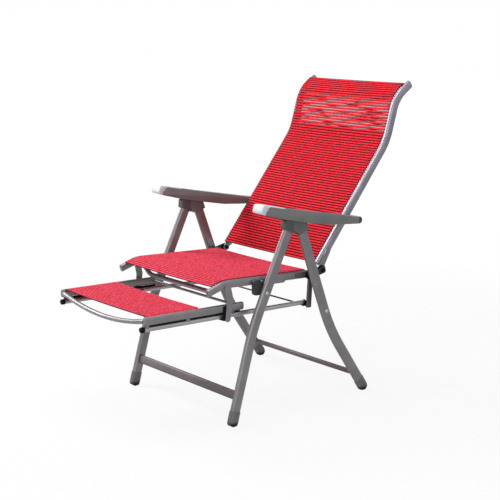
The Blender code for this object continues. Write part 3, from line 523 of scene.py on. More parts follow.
# A darker copy of the grey paint for the hangers and rod under the seat: painted shade
SHADED = SolidFinish(
    "under_paint", Slot.PAINT, tone(0.075, 0.064, 0.068), tone(0.105, 0.090, 0.095), 0.40, 0.3
)
STEEL = SolidFinish(
    "zinc", Slot.STEEL, tone(0.42, 0.41, 0.40), tone(0.50, 0.49, 0.47), 0.30, 1.0
)
MOULDED = SolidFinish(
    "grey_moulding", Slot.MOULDED, tone(0.095, 0.103, 0.098), tone(0.120, 0.128, 0.122), 0.48
)
# A darker copy of the grey moulding for the front frame's knuckles: painted shade
MOULDING_PAINTED_SHADE = SolidFinish(
    "dim_moulding", Slot.MOULDED, tone(0.055, 0.060, 0.058), tone(0.075, 0.082, 0.079), 0.46
)
DARK = SolidFinish(
    "dark_moulding", Slot.MOULDED,
    tone(0.030, 0.033, 0.032), tone(0.045, 0.050, 0.048), 0.45, shine=0.2,
)
BLACK = SolidFinish(
    "black", Slot.BLACK,
    tone(0.003, 0.003, 0.003), tone(0.006, 0.006, 0.006), 0.5, shine=0.08,
)
CAP = SolidFinish("cap", Slot.CAP, tone(0.62, 0.67, 0.71), tone(0.70, 0.75, 0.79), 0.38)
ARM = ArmFinish(
    "arm", Slot.ARM, tone(0.150, 0.153, 0.154), tone(0.180, 0.183, 0.184), 0.36, smear=0.0
)
RUBBER = FootFinish(
    "foot", Slot.RUBBER,
    tone(0.165, 0.160, 0.166), tone(0.200, 0.195, 0.201), 0.55, smear=0.0, shine=0.2,
)
# The third colour of each is the painted shade in the grooves
CORDS = CordFinish(
    "red_cords", Slot.FABRIC, tone(0.52, 0.006, 0.026), tone(0.90, 0.105, 0.160),
    tone(0.12, 0.001, 0.005), groove_shade_wide=0.60, mottle=0.45,
)
BACK_CORDS = CordFinish(
    "red_cords_back", Slot.FABRIC, tone(0.58, 0.003, 0.011), tone(0.88, 0.042, 0.064),
    tone(0.030, 0.001, 0.002), groove_shade_wide=0.80, mottle=0.4, gap_from=0.515, gap_to=0.665,
)


@cache
def material_of(finish: Any) -> Any:
    """The material of a finish, which is made once."""
    return finish.make()


# Paths in the side view


def unit(start: Vector, end: Vector) -> Vector:
    """The direction from one place to another."""
    return (end - start).normalized()


def square(direction: Vector) -> Vector:
    """A direction turned a quarter turn clockwise."""
    return Vector((direction.y, -direction.x))


def rounded(corners: Iterable[Sequence[float]], radii: Sequence[float], steps: int = 18) -> list:
    """A line of corners with the inner ones rounded.

    Args:
        corners: The corners.
        radii: A radius for each inner corner.
        steps: Points on each bend.

    Returns:
        The points.
    """
    most = 0.48
    corners = [Vector(corner) for corner in corners]
    points = [corners[0]]
    for before, corner, after, radius in zip(corners, corners[1:], corners[2:], radii):
        arriving = unit(before, corner)
        leaving = unit(corner, after)
        turn = atan2(arriving.x * leaving.y - arriving.y * leaving.x, arriving.dot(leaving))
        room = most * min((corner - before).length, (after - corner).length)
        reach = min(radius * tan(abs(turn) / 2), room)
        real_radius = reach / tan(abs(turn) / 2)
        side = 1 if turn > 0 else -1
        start = corner - arriving * reach
        centre = start - square(arriving) * side * real_radius
        for step in range(steps + 1):
            points.append(centre + Matrix.Rotation(turn * step / steps, 2) @ (start - centre))
    points.append(corners[-1])
    return points


def headings(path: list) -> Iterable[tuple]:
    """Each place of a path with the path's direction there.

    Args:
        path: The path.

    Yields:
        Pairs of a place and a direction.
    """
    for index, point in enumerate(path):
        before = path[max(index - 1, 0)]
        after = path[min(index + 1, len(path) - 1)]
        yield point, unit(before, after)


def offset(path: list, distance: float) -> list:
    """A path moved to its left by a distance."""
    return [point - square(heading) * distance for point, heading in headings(path)]


def stretched(path: list, first: float, last: float) -> list:
    """A path whose two ends are moved outwards.

    Args:
        path: The path.
        first: How far its start moves, negative for inwards.
        last: How far its end moves.

    Returns:
        The new path.
    """
    path = list(path)
    path[0] = path[0] - unit(path[0], path[1]) * first
    path[-1] = path[-1] + unit(path[-2], path[-1]) * last
    return path


def on_slide(station: float, lift: float = 0.0) -> Vector:
    """A place at a distance along the footrest's tilted slide and a lift over it."""
    return Vector((0, SLIDE_HEIGHT)) + SLIDE_ALONG * station + SLIDE_UP * lift


def rounded_end(tip: Vector, inner: Vector, long: float) -> tuple:
    """The places and scales that round off one end of a tube.

    Args:
        tip: The end.
        inner: The next place of the path.
        long: Length of the rounding.

    Returns:
        The places from the tip inwards, and their scales.
    """
    inward = unit(tip, inner)
    places, scales = [], []
    for share in (0.0, 0.1, 0.3, 0.6, 1.0):
        places.append(tip + inward * long * share)
        scales.append(TIP_SCALE + (1 - TIP_SCALE) * (1 - (1 - share) ** 2) ** 0.5)
    return places, scales


def plugged(path: list, first: float, last: float) -> tuple:
    """A path whose ends are rounded like pressed-in plugs.

    Args:
        path: The path.
        first: Length of the rounding at its start.
        last: Length at its end.

    Returns:
        The path and the scales.
    """
    start, start_scales = rounded_end(path[0], path[1], first)
    stop, stop_scales = rounded_end(path[-1], path[-2], last)
    middle = path[1:-1]
    points = start + middle + stop[::-1]
    return points, start_scales + [1.0] * len(middle) + stop_scales[::-1]


# Mesh building


def added(name: str, data: Any) -> Any:
    """Add an object to the scene.

    Args:
        name: Its name.
        data: Its mesh, curve, light or camera.

    Returns:
        The object.
    """
    item = bpy.data.objects.new(name, data)
    bpy.context.scene.collection.objects.link(item)
    return item


@dataclass
class Piece:
    """One visible piece: a mesh at the origin that rides a body."""

    name: str
    mesh: Any
    body: Body
    finish: Any
    nodes: tuple = ()
    smooth: float = 38.0

    def place(self) -> Any:
        """Returns:
            The object.
        """
        item = added(self.name, self.mesh)
        self.mesh.materials.clear()
        self.mesh.materials.append(material_of(self.finish))
        self.mesh.shade_smooth()
        self.mesh.set_sharp_from_angle(angle=radians(self.smooth))
        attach(item, self.body.value)
        if self.nodes:
            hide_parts(*self.nodes)
        LOG.info("piece %s: %d faces", self.name, len(self.mesh.polygons))
        return item


def flip(mesh: Any) -> Any:
    """The mirrored mesh of the chair's other side.

    Args:
        mesh: The left side's mesh.

    Returns:
        A new mesh.
    """
    other = mesh.copy()
    other.transform(Matrix.Scale(-1, 4, (1, 0, 0)))
    other.flip_normals()
    return other


def place_pairs(body: Body, parts: Sequence[tuple]) -> None:
    """Place pieces of the left side and their mirror images.

    Args:
        body: The body that they ride.
        parts: The name, mesh and finish of each, and whether the CAD has it as a node.
    """
    for side, sign in SIDES:
        for name, mesh, finish, in_cad in parts:
            node = f"{name}_{side}"
            shape = mesh if sign > 0 else flip(mesh)
            Piece(f"v_{node}", shape, body, finish, (node,) if in_cad else ()).place()


def mended(cage: Any, mesh: Any, merge: float, flat: float = 0.0) -> None:
    """Merge a cage's points, turn its faces outwards and write it to a mesh.

    Args:
        cage: The bmesh, which is freed.
        mesh: The mesh.
        merge: Distance at which points are merged.
        flat: Degrees under which neighbouring faces are joined into one.
    """
    bmesh.ops.remove_doubles(cage, verts=cage.verts, dist=merge)
    bmesh.ops.recalc_face_normals(cage, faces=cage.faces)
    if flat:
        bmesh.ops.dissolve_limit(
            cage, angle_limit=radians(flat), verts=cage.verts, edges=cage.edges,
            delimit={"NORMAL"},
        )
    cage.to_mesh(mesh)
    cage.free()


def evaluated(item: Any, merge: float = LOOSE) -> Any:
    """A plain mesh, in world place, of an object with its modifiers.

    Args:
        item: The object, which is removed.
        merge: Distance at which points are merged.

    Returns:
        The mesh.
    """
    bpy.context.view_layer.update()
    graph = bpy.context.evaluated_depsgraph_get()
    mesh = bpy.data.meshes.new_from_object(item.evaluated_get(graph))
    mesh.transform(item.matrix_world)
    cage = bmesh.new()
    cage.from_mesh(mesh)
    mended(cage, mesh, merge)
    bpy.data.objects.remove(item, do_unlink=True)
    return mesh


def refined(node: str, bevel: float, steps: int = 3) -> Any:
    """A copy of a CAD node with its triangles joined and its edges rounded.

    Args:
        node: The node.
        bevel: Radius of the rounded edges.
        steps: Faces on each rounding.

    Returns:
        The mesh.
    """
    source = FRAME["nodes"][node]
    mesh = source.data.copy()
    mesh.transform(source.matrix_world)
    cage = bmesh.new()
    cage.from_mesh(mesh)
    mended(cage, mesh, LOOSE, flat=FLAT_ANGLE)
    item = added("copy", mesh)
    round_off = item.modifiers.new("round", "BEVEL")
    round_off.width = bevel
    round_off.segments = steps
    round_off.limit_method = "ANGLE"
    round_off.angle_limit = radians(SHARP_ANGLE)
    round_off.use_clamp_overlap = True
    round_off.harden_normals = False
    return evaluated(item)


def turned(profile: list, place: Vector, steps: int = 40) -> Any:
    """A turned mesh on an axis along X.

    Args:
        profile: Pairs (x, radius) from one end to the other.
        place: The axis in the side view.
        steps: Faces round it.

    Returns:
        The mesh.
    """
    cage = bmesh.new()
    verts = [cage.verts.new((x, radius, 0)) for x, radius in profile]
    edges = [cage.edges.new(pair) for pair in zip(verts, verts[1:])]
    bmesh.ops.spin(
        cage, geom=verts + edges, cent=(0, 0, 0), axis=(1, 0, 0), angle=2 * pi, steps=steps
    )
    mesh = bpy.data.meshes.new("turned")
    mended(cage, mesh, LOOSE / 2)
    mesh.transform(Matrix.Translation((0, *place)))
    return mesh


def pressed(away: float, free: float, share: float) -> float:
    """A signed distance of which only a share counts past a free length."""
    past = max(abs(away) - free, 0.0) * (1 - share)
    return away - past if away > 0 else away + past


class Sweep:
    """Builds tubes with round-ended sections along paths in the side view."""

    def __init__(self, wide: float, thick: float, steps: int = 12) -> None:
        """Set the section.

        Args:
            wide: Its width in the side view.
            thick: Its thickness along X.
            steps: Faces on each rounded end.
        """
        self.ring: list = []
        half = wide / 2 - thick / 2
        for middle, start in ((half, -pi / 2), (-half, pi / 2)):
            for step in range(steps + 1):
                angle = start + pi * step / steps
                self.ring.append((middle + thick / 2 * cos(angle), thick / 2 * sin(angle)))

    def along(self, path: list, middle_x: float, swell: Optional[list] = None) -> Any:
        """Sweep the section.

        Args:
            path: Places in the side view.
            middle_x: Where the tube stands.
            swell: A scale of the section at each place.

        Returns:
            The closed mesh.
        """
        cage = bmesh.new()
        rings = []
        thick = Vector((1, 0, 0))
        for index, (point, heading) in enumerate(headings(path)):
            centre, wide = Vector((middle_x, *point)), Vector((0, *square(heading)))
            scale = swell[index] if swell else 1.0
            rings.append([
                cage.verts.new(centre + (wide * u + thick * v) * scale) for u, v in self.ring
            ])
        for one, two in zip(rings, rings[1:]):
            for place in range(len(one)):
                follow = (place + 1) % len(one)
                cage.faces.new((one[place], one[follow], two[follow], two[place]))
        cage.faces.new(rings[0][::-1])
        cage.faces.new(rings[-1])
        bmesh.ops.recalc_face_normals(cage, faces=cage.faces)
        mesh = bpy.data.meshes.new("tube")
        cage.to_mesh(mesh)
        cage.free()
        return mesh


# The slings


class SheetGraph(Graph):
    """Geometry Nodes that sweep a corded sheet along a path."""

    INPUTS = (
        ("Path", "Geometry"), ("Section", "Object"), ("Half Width", "Float"),
        ("Pitch", "Float"), ("Cord Height", "Float"), ("Web", "Float"), ("Sag", "Float"),
        ("Curl", "Float"), ("Spread", "Float"), ("Seed", "Int"), ("Material", "Material"),
    )
    EDGE_FROM = 0.955
    EDGE_THIN = 0.35
    WOBBLE = 0.16
    WOBBLE_SCALE = 60.0

    def __init__(self) -> None:
        """Build the group with its named inputs."""
        group = bpy.data.node_groups.new("corded_sheet", "GeometryNodeTree")
        super().__init__(group)
        for name, kind in self.INPUTS:
            group.interface.new_socket(name, in_out="INPUT", socket_type=f"NodeSocket{kind}")
        group.interface.new_socket("Sheet", in_out="OUTPUT", socket_type="NodeSocketGeometry")
        self.given = self.tree.nodes.new("NodeGroupInput")
        self.build()

    def inlet(self, name: str) -> Sock:
        """One of the group's inputs."""
        return Sock(self, self.given.outputs[name])

    def keep(self, geometry: Sock, kind: str, name: str, value: Sock) -> Sock:
        """A geometry with a named attribute of a data type stored on its points."""
        inputs = {"Geometry": geometry, "Name": name, "Value": value}
        return self.node("GeometryNodeStoreNamedAttribute", {"data_type": kind}, inputs)

    def read(self, name: str, kind: str = "FLOAT_VECTOR") -> Sock:
        """The value of a named attribute."""
        return self.node("GeometryNodeInputNamedAttribute", {"data_type": kind}, {"Name": name})

    def swept(self) -> Sock:
        """The flat section swept along the path, with what the cords need stored on it.

        Returns:
            The geometry.
        """
        place = self.node("GeometryNodeInputPosition")
        path = self.keep(self.inlet("Path"), "FLOAT_VECTOR", "centre", place)
        tangent = self.node("GeometryNodeInputTangent")
        path = self.keep(path, "FLOAT_VECTOR", "tangent", tangent)
        spline = self.node("GeometryNodeSplineParameter", out="Length")
        path = self.keep(path, "FLOAT", "along", spline)
        section = self.node(
            "GeometryNodeObjectInfo", inputs={"Object": self.inlet("Section")}, out="Geometry"
        )
        section = self.keep(section, "FLOAT_VECTOR", "place", place)
        inputs = {"Curve": path, "Profile Curve": section, "Fill Caps": True}
        return self.node("GeometryNodeCurveToMesh", inputs=inputs)

    def height(self, share: Sock, edge: Sock, layer: Sock, round_top: Sock) -> Sock:
        """How far the sheet's face stands off the path.

        Args:
            share: Distance from the sheet's middle, 1 at its edge.
            edge: 1 at the very edge and 0 inside.
            layer: 1 on the upper face and -1 on the lower.
            round_top: A cord's rounding, 1 on its crest.

        Returns:
            The height.
        """
        inputs = {
            "Vector": self.read("centre"), "W": self.inlet("Seed"), "Scale": self.WOBBLE_SCALE,
        }
        wobble = self.node("ShaderNodeTexNoise", {"noise_dimensions": "4D"}, inputs)
        uneven = (1.0 - self.WOBBLE / 2) + wobble * self.WOBBLE
        cord = self.inlet("Cord Height") * round_top * uneven
        half = self.inlet("Web") + cord * (1.0 - edge * self.EDGE_THIN)
        bow = self.inlet("Sag") * (1.0 - share * share)
        face = layer.math("SIGN") * half * layer.math("ABSOLUTE")
        return face - bow - edge * self.inlet("Curl")

    def build(self) -> None:
        """Lay out the nodes."""
        sheet = self.swept()
        across = self.split(self.read("place"))
        layer = across.sibling("Y")
        along = self.read("along", "FLOAT")
        phase = (along / self.inlet("Pitch")).math("FRACT") * 2.0 - 1.0
        round_top = (1.0 - phase * phase).root()
        share = across.math("ABSOLUTE") / self.inlet("Half Width")
        edge = share.smooth(self.EDGE_FROM, 1.0)
        height = self.height(share, edge, layer, round_top)
        narrow = edge * (1.0 - round_top) * self.inlet("Spread")
        sideways = across - across.math("SIGN") * narrow
        run = self.split(self.read("tangent"), "Y")
        inputs = {"X": sideways, "Y": run.sibling("Z") * -1.0 * height, "Z": run * height}
        move = self.node("ShaderNodeCombineXYZ", inputs=inputs)
        inputs = {"Geometry": sheet, "Position": self.read("centre"), "Offset": move}
        sheet = self.node("GeometryNodeSetPosition", inputs=inputs)
        cords = self.node("ShaderNodeCombineXYZ", inputs={"X": across, "Y": along, "Z": layer})
        sheet = self.keep(sheet, "FLOAT_VECTOR", "cord", cords)
        sheet = self.node("GeometryNodeRealizeInstances", inputs={"Geometry": sheet})
        inputs = {"Geometry": sheet, "Material": self.inlet("Material")}
        sheet = self.node("GeometryNodeSetMaterial", inputs=inputs)
        end = self.tree.nodes.new("NodeGroupOutput")
        self.link(sheet, end.inputs["Sheet"])


@dataclass
class Sling:
    """A corded sling stretched between two rails.

    Its cords run across the chair. The sheet is flat between the rails but for its sag, and its
    edges curl down and thin out where they are held.
    """

    graph: SheetGraph
    node: str
    body: Body
    path: list
    half_width: float
    finish: CordFinish
    rail: str
    seed: int
    sag: float = 0.003
    curl: float = 0.0024
    shift: float = 0.0
    cord_height: float = 0.0022
    web: float = 0.0004
    spread: float = 0.0022
    per_cord: int = 8
    coarse: int = 22
    fine: tuple = (0.935, 0.955, 0.97, 0.982, 0.992, 1.0)

    def length(self) -> float:
        """The sling's length along its path."""
        return sum((two - one).length for one, two in zip(self.path, self.path[1:]))

    def even(self) -> list:
        """Places along the path, evenly spaced.

        Returns:
            The places.
        """
        count = round(self.length() / CORD_PITCH) * self.per_cord
        step = self.length() / count
        places = []
        pairs = list(zip(self.path, self.path[1:]))
        for index in range(count + 1):
            goal = index * step
            walked = 0.0
            for one, two in pairs:
                span = (two - one).length
                if goal <= walked + span or (one, two) == pairs[-1]:
                    places.append(one.lerp(two, min((goal - walked) / span, 1.0)))
                    break
                walked += span
        return places

    def section(self) -> Any:
        """The flat closed section, finer near its ends.

        Returns:
            A curve object.
        """
        stations = [step / self.coarse for step in range(self.coarse - 1)]
        half = [self.half_width * share for share in (*stations, *self.fine)]
        line = [-x for x in half[::-1]] + half[1:]
        points = [(x, 1.0, 0) for x in line] + [(x, -1.0, 0) for x in line[::-1]]
        return self.curve("section", points, True)

    @staticmethod
    def curve(name: str, points: list, closed: bool) -> Any:
        """A poly curve object.

        Args:
            name: Its name.
            points: Its points.
            closed: Whether it is cyclic.

        Returns:
            The object.
        """
        data = bpy.data.curves.new(name, "CURVE")
        data.dimensions = "3D"
        line = data.splines.new("POLY")
        line.points.add(len(points) - 1)
        for point, place in zip(line.points, points):
            point.co = (*place, 1)
        line.use_cyclic_u = closed
        return added(name, data)

    def build(self) -> None:
        section = self.section()
        path = self.curve("path", [(self.shift, *place) for place in self.even()], False)
        change = path.modifiers.new("sheet", "NODES")
        change.node_group = self.graph.tree
        values = {
            "Section": section, "Half Width": self.half_width, "Pitch": CORD_PITCH,
            "Cord Height": self.cord_height, "Web": self.web, "Sag": self.sag,
            "Curl": self.curl, "Spread": self.spread, "Seed": self.seed,
            "Material": material_of(self.finish),
        }
        for entry in self.graph.tree.interface.items_tree:
            if entry.in_out == "INPUT" and entry.name in values:
                change[entry.identifier] = values[entry.name]
        mesh = evaluated(path, TINY)
        bpy.data.objects.remove(section, do_unlink=True)
        name = f"v_{self.node}"
        item = Piece(name, mesh, self.body, self.finish, (self.node,), smooth=70.0).place()
        flat = (2 * self.half_width, self.length())


# The chair's sub-assemblies


@dataclass
class CadPieces:
    """Small hard parts that keep their CAD shape, with rounded edges.

    Each part is its name, its finish, the radius of its edges and whether it is one of a pair.
    """

    body: Body
    parts: tuple
    low_top: Optional[float] = None

    def shape(self, mesh: Any) -> None:
        """Draw a part's top down to low_top, where one is given.

        Args:
            mesh: The part's mesh.
        """
        if self.low_top is None:
            return
        heights = [vert.co.z for vert in mesh.vertices]
        low, high = min(heights), max(heights)
        for vert in mesh.vertices:
            vert.co.z = low + (vert.co.z - low) * (self.low_top - low) / (high - low)

    def build(self) -> None:
        """Refine each part, on both sides where it is one of a pair."""
        for name, finish, bevel, paired in self.parts:
            if not paired:
                mesh = refined(name, bevel)
                Piece(f"v_{name}", mesh, self.body, finish, (name,)).place()
                continue
            mesh = refined(f"{name}_left", bevel)
            self.shape(mesh)
            place_pairs(self.body, ((name, mesh, finish, True),))


@dataclass
class HingePieces(CadPieces):
    """The brackets and plates of the two pivots, with their rims drawn in around the bores."""

    free_reach: float = 0.010
    reach_share: float = 0.35
    free_rise: float = 0.009
    rise_share: float = 0.4
    stem_from: float = 0.03

    def shape(self, mesh: Any) -> None:
        """Draw the rim in around the line of the two pivots, but not the plate's stem.

        Args:
            mesh: The mesh.
        """
        start, end = Vector(SEAT_PIVOT), Vector(BACK_PIVOT)
        along = unit(start, end)
        over = square(along)
        for vert in mesh.vertices:
            spot = Vector((vert.co.y, vert.co.z)) - end
            reach, rise = spot.dot(along), spot.dot(over)
            if abs(rise) > self.stem_from:
                continue
            if reach > 0:
                reach = pressed(reach, self.free_reach, self.reach_share)
            rise = pressed(rise, self.free_rise, self.rise_share)
            vert.co.y, vert.co.z = end + along * reach + over * rise


@dataclass
class LegFrame:
    """One pair of legs with its crossbar, feet, rivets and knuckle halves.

    The legs run from foot over bend to the height of the hinge, setback behind it, and end drop
    below that. The rivet is on each leg's outer face.
    """

    body: Body
    foot: tuple
    bend: tuple
    radius: float
    setback: float
    drop: float
    rivet: tuple
    moulding: SolidFinish
    tube_start: float = 0.004
    foot_wall: float = 0.0006
    foot_share: float = 0.2
    rivet_radius: float = 0.0066
    rivet_high: float = 0.0024
    rivet_sunk: float = 0.001
    rivet_lip: float = 0.0002
    rivet_steps: int = 6

    def axis(self) -> list:
        """The legs' centreline from the foot up, in the side view."""
        corners = (self.foot, self.bend, (self.setback, HINGE_HEIGHT))
        return rounded(corners, (self.radius,), steps=24)

    def tube(self) -> Any:
        """The mesh of the left leg's tube."""
        path = stretched(self.axis(), -self.tube_start, -self.drop)
        return Sweep(LEG_WIDE, LEG_THICK).along(path, LEG_X)

    def slim(self, foot: Any) -> None:
        """Draw a foot in towards its leg's flat oval.

        Args:
            foot: The foot's mesh.
        """
        low, high = self.axis()[:2]
        slope = (high.x - low.x) / (high.y - low.y)
        lean = hypot(1.0, slope)
        flat = (LEG_WIDE - LEG_THICK) / 2
        free = LEG_THICK / 2 + self.foot_wall
        for vert in foot.vertices:
            middle = low.x + (vert.co.z - low.y) * slope
            side, run = vert.co.x - LEG_X, (vert.co.y - middle) / lean
            core = max(min(run, flat), -flat)
            away = hypot(side, run - core)
            scale = pressed(away, free, self.foot_share) / max(away, TINY)
            vert.co.x = LEG_X + side * scale
            vert.co.y = middle + (core + (run - core) * scale) * lean

    def dome(self) -> Any:
        """The domed rivet head on the left leg's outer face.

        Returns:
            The mesh.
        """
        face = LEG_X + LEG_THICK / 2
        inside = face - self.rivet_sunk
        rim = self.rivet_radius + self.rivet_lip
        profile = [(inside, 0.0), (inside, self.rivet_radius), (face, rim)]
        for step in range(self.rivet_steps + 1):
            angle = pi / 2 * step / self.rivet_steps
            rise, radius = self.rivet_high * sin(angle), self.rivet_radius * cos(angle)
            profile.append((face + rise, radius))
        return turned(profile, Vector(self.rivet))

    def build(self) -> None:
        """Build all pieces of the frame."""
        name = self.body.value.split("_")[0]
        foot = refined(f"{name}_foot_left", 0.0012)
        self.slim(foot)
        knuckle = refined(f"{name}_knuckle_left", 0.0011)
        place_pairs(self.body, (
            (f"{name}_leg", self.tube(), PAINT, True),
            (f"{name}_foot", foot, RUBBER, True),
            (f"{name}_knuckle", knuckle, self.moulding, True),
            (f"{name}_rivet", self.dome(), STEEL, False),
        ))
        node = f"{name}_crossbar"
        Piece(f"v_{node}", refined(node, 0.0004, steps=2), self.body, BAR_PAINT_PAINTED_SHADE, (node,)).place()


@dataclass
class SeatPart:
    """Seat rails with plugs, hangers and guides, the dipped front bar and the sling."""

    graph: SheetGraph
    rail_corners: tuple = ((-0.3215, 0.4415), (-0.268, 0.4575), (0.088, 0.441))
    rail_bend: float = 0.12
    rail_deep: float = 0.026
    front_inset: float = 0.010
    rear_inset: float = 0.006

    def build(self) -> None:
        """Build the seat."""
        CadPieces(Body.SEAT, (
            ("seat_rail", PAINT, 0.0004, True), ("front_hanger", PAINT, 0.0007, True),
            ("rear_hanger", SHADED, 0.0008, True), ("front_guide", BLACK, 0.0007, True),
            ("rear_guide", BLACK, 0.0007, True), ("seat_front_bar", PAINT, 0.0003, False),
            ("hanger_rod", SHADED, 0.0004, False),
        )).build()
        rail = rounded(self.rail_corners, (self.rail_bend,))
        path = offset(rail, self.rail_deep / 2 + CLEAR)
        path = stretched(path, -self.front_inset, -self.rear_inset)
        Sling(
            self.graph, "seat_sling", Body.SEAT, path, half_width=0.2385, finish=CORDS,
            rail="seat_rail", seed=3, curl=0.0008, shift=-0.0035,
        ).build()


@dataclass
class FootrestPart:
    """Footrest rails and slide tubes, its two bars and the short sling.

    A station is a distance along the slide, and a lift is a height over it.
    """

    graph: SheetGraph
    tube_x: float = 0.2275
    tube_wide: float = 0.016
    tube_stations: tuple = (-0.5655, 0.0815)
    cap_stations: tuple = ((-0.5775, -0.5657), (0.088, 0.0817))
    cap_round: float = 0.0030
    cap_inner_round: float = 0.0002
    cap_scale: float = 1.14
    strip_x: float = 0.2315
    strip_thick: float = 0.003
    strip_stations: tuple = (-0.562, -0.198)
    strip_lift: float = 0.0062
    strip_over: float = 0.0008
    rail_lift: float = 0.0137
    rail_deep: float = 0.0265
    sling_stations: tuple = (-0.5605, -0.362)

    def joint_shadow_strip(self) -> Any:
        """A dark strip in the joint between a rail and its slide tube: painted shadow, where
        that joint only lies in shade.

        Returns:
            The mesh.
        """
        wide = self.rail_lift + self.strip_over - self.strip_lift
        middle = self.strip_lift + wide / 2
        path = [on_slide(station, middle) for station in self.strip_stations]
        return Sweep(wide, self.strip_thick, steps=4).along(path, self.strip_x)

    def slides(self) -> None:
        """Build the slide tubes with their caps and the painted-shadow strips over them."""
        section = Sweep(self.tube_wide, self.tube_wide, steps=14)
        path = [on_slide(station) for station in self.tube_stations]
        tube = section.along(path, self.tube_x)
        # A black strip over each tube as painted shadow in the joint
        parts = [("slide_tube", tube, SLIDE_PAINT_PAINTED_LIGHT, True), ("slide_joint", self.joint_shadow_strip(), BLACK, False)]
        for end, (tip, inner) in zip(("front", "rear"), self.cap_stations):
            path = [on_slide(tip), on_slide(inner)]
            path, swell = plugged(path, self.cap_round, self.cap_inner_round)
            swell = [self.cap_scale * scale for scale in swell]
            cap = section.along(path, self.tube_x, swell)
            parts.append((f"slide_cap_{end}", cap, BLACK, False))
        place_pairs(Body.FOOTREST, parts)

    def build(self) -> None:
        """Build the footrest."""
        CadPieces(Body.FOOTREST, (
            ("footrest_rail", PAINT, 0.0004, True), ("footrest_bow", PAINT, 0.0003, False),
            ("footrest_rear_bar", PAINT, 0.0003, False),
        )).build()
        self.slides()
        lift = self.rail_lift + self.rail_deep + CLEAR
        path = [on_slide(station, lift) for station in self.sling_stations]
        Sling(
            self.graph, "footrest_sling", Body.FOOTREST, path, half_width=0.2350,
            finish=CORDS, rail="footrest_rail", seed=7,
        ).build()


@dataclass
class BackPart:
    """Back tubes, plates, the bar in the top hem and the long sling."""

    graph: SheetGraph
    corners: tuple = ((0.1377, 0.4688), (0.4521, 0.8552), (0.4956, 1.0011), (0.5628, 1.0480))
    bends: tuple = (0.20, 0.12)
    tube_x: float = 0.240
    tube_wide: float = 0.030
    tube_thick: float = 0.016
    plug: float = 0.0045
    foot_longer: float = 0.005
    sling_longer: float = 0.006
    top_inset: float = 0.018

    def build(self) -> None:
        """Build the back."""
        line = rounded(self.corners, self.bends)
        path, swell = plugged(stretched(line, self.foot_longer, 0.0), self.plug, self.plug)
        tube = Sweep(self.tube_wide, self.tube_thick).along(path, self.tube_x, swell)
        place_pairs(Body.BACK, (("back_tube", tube, BACK_PAINT_PAINTED_LIGHT, True),))
        CadPieces(Body.BACK, (
            ("back_plate", PAINT, 0.0006, True), ("armrest_pin", STEEL, 0.0004, True),
            ("back_top_bar", PAINT, 0.0003, False),
        )).build()
        path = offset(line, self.tube_wide / 2 + CLEAR)
        path = stretched(path, self.sling_longer, -self.top_inset)
        Sling(
            self.graph, "back_sling", Body.BACK, path, half_width=0.2390,
            finish=BACK_CORDS, rail="back_tube", seed=11, sag=0.004, curl=0.0004,
            shift=-0.005,
        ).build()


@dataclass
class ArmPart:
    """One armrest with its pale cap and its rack.

    The cap's tip is drawn back from tip_from past cap_top, along the arm.
    """

    side: str
    body: Body
    cap_top: tuple = (-0.1306, 0.7002)
    cap_along: tuple = (-0.985, 0.164)
    tip_from: float = 0.008
    tip_share: float = 0.62

    def shorten(self, mesh: Any) -> None:
        """Draw a cap's tip back along the arm.

        Args:
            mesh: The cap's mesh.
        """
        top, along = Vector(self.cap_top), Vector(self.cap_along)
        for vert in mesh.vertices:
            spot = Vector((vert.co.y, vert.co.z))
            reach = max((spot - top).dot(along) - self.tip_from, 0.0)
            vert.co.y, vert.co.z = spot - along * reach * self.tip_share

    def build(self) -> None:
        """Build the armrest of one side."""
        for part, finish, bevel in (
            ("armrest", ARM, 0.0016), ("armrest_cap", CAP, 0.0018), ("arm_rack", STEEL, 0.0004),
        ):
            node = f"{part}_{self.side}"
            mesh = refined(node, bevel)
            if part == "armrest_cap":
                self.shorten(mesh)
            Piece(f"v_{node}", mesh, self.body, finish, (node,), smooth=50.0).place()


# Light and camera


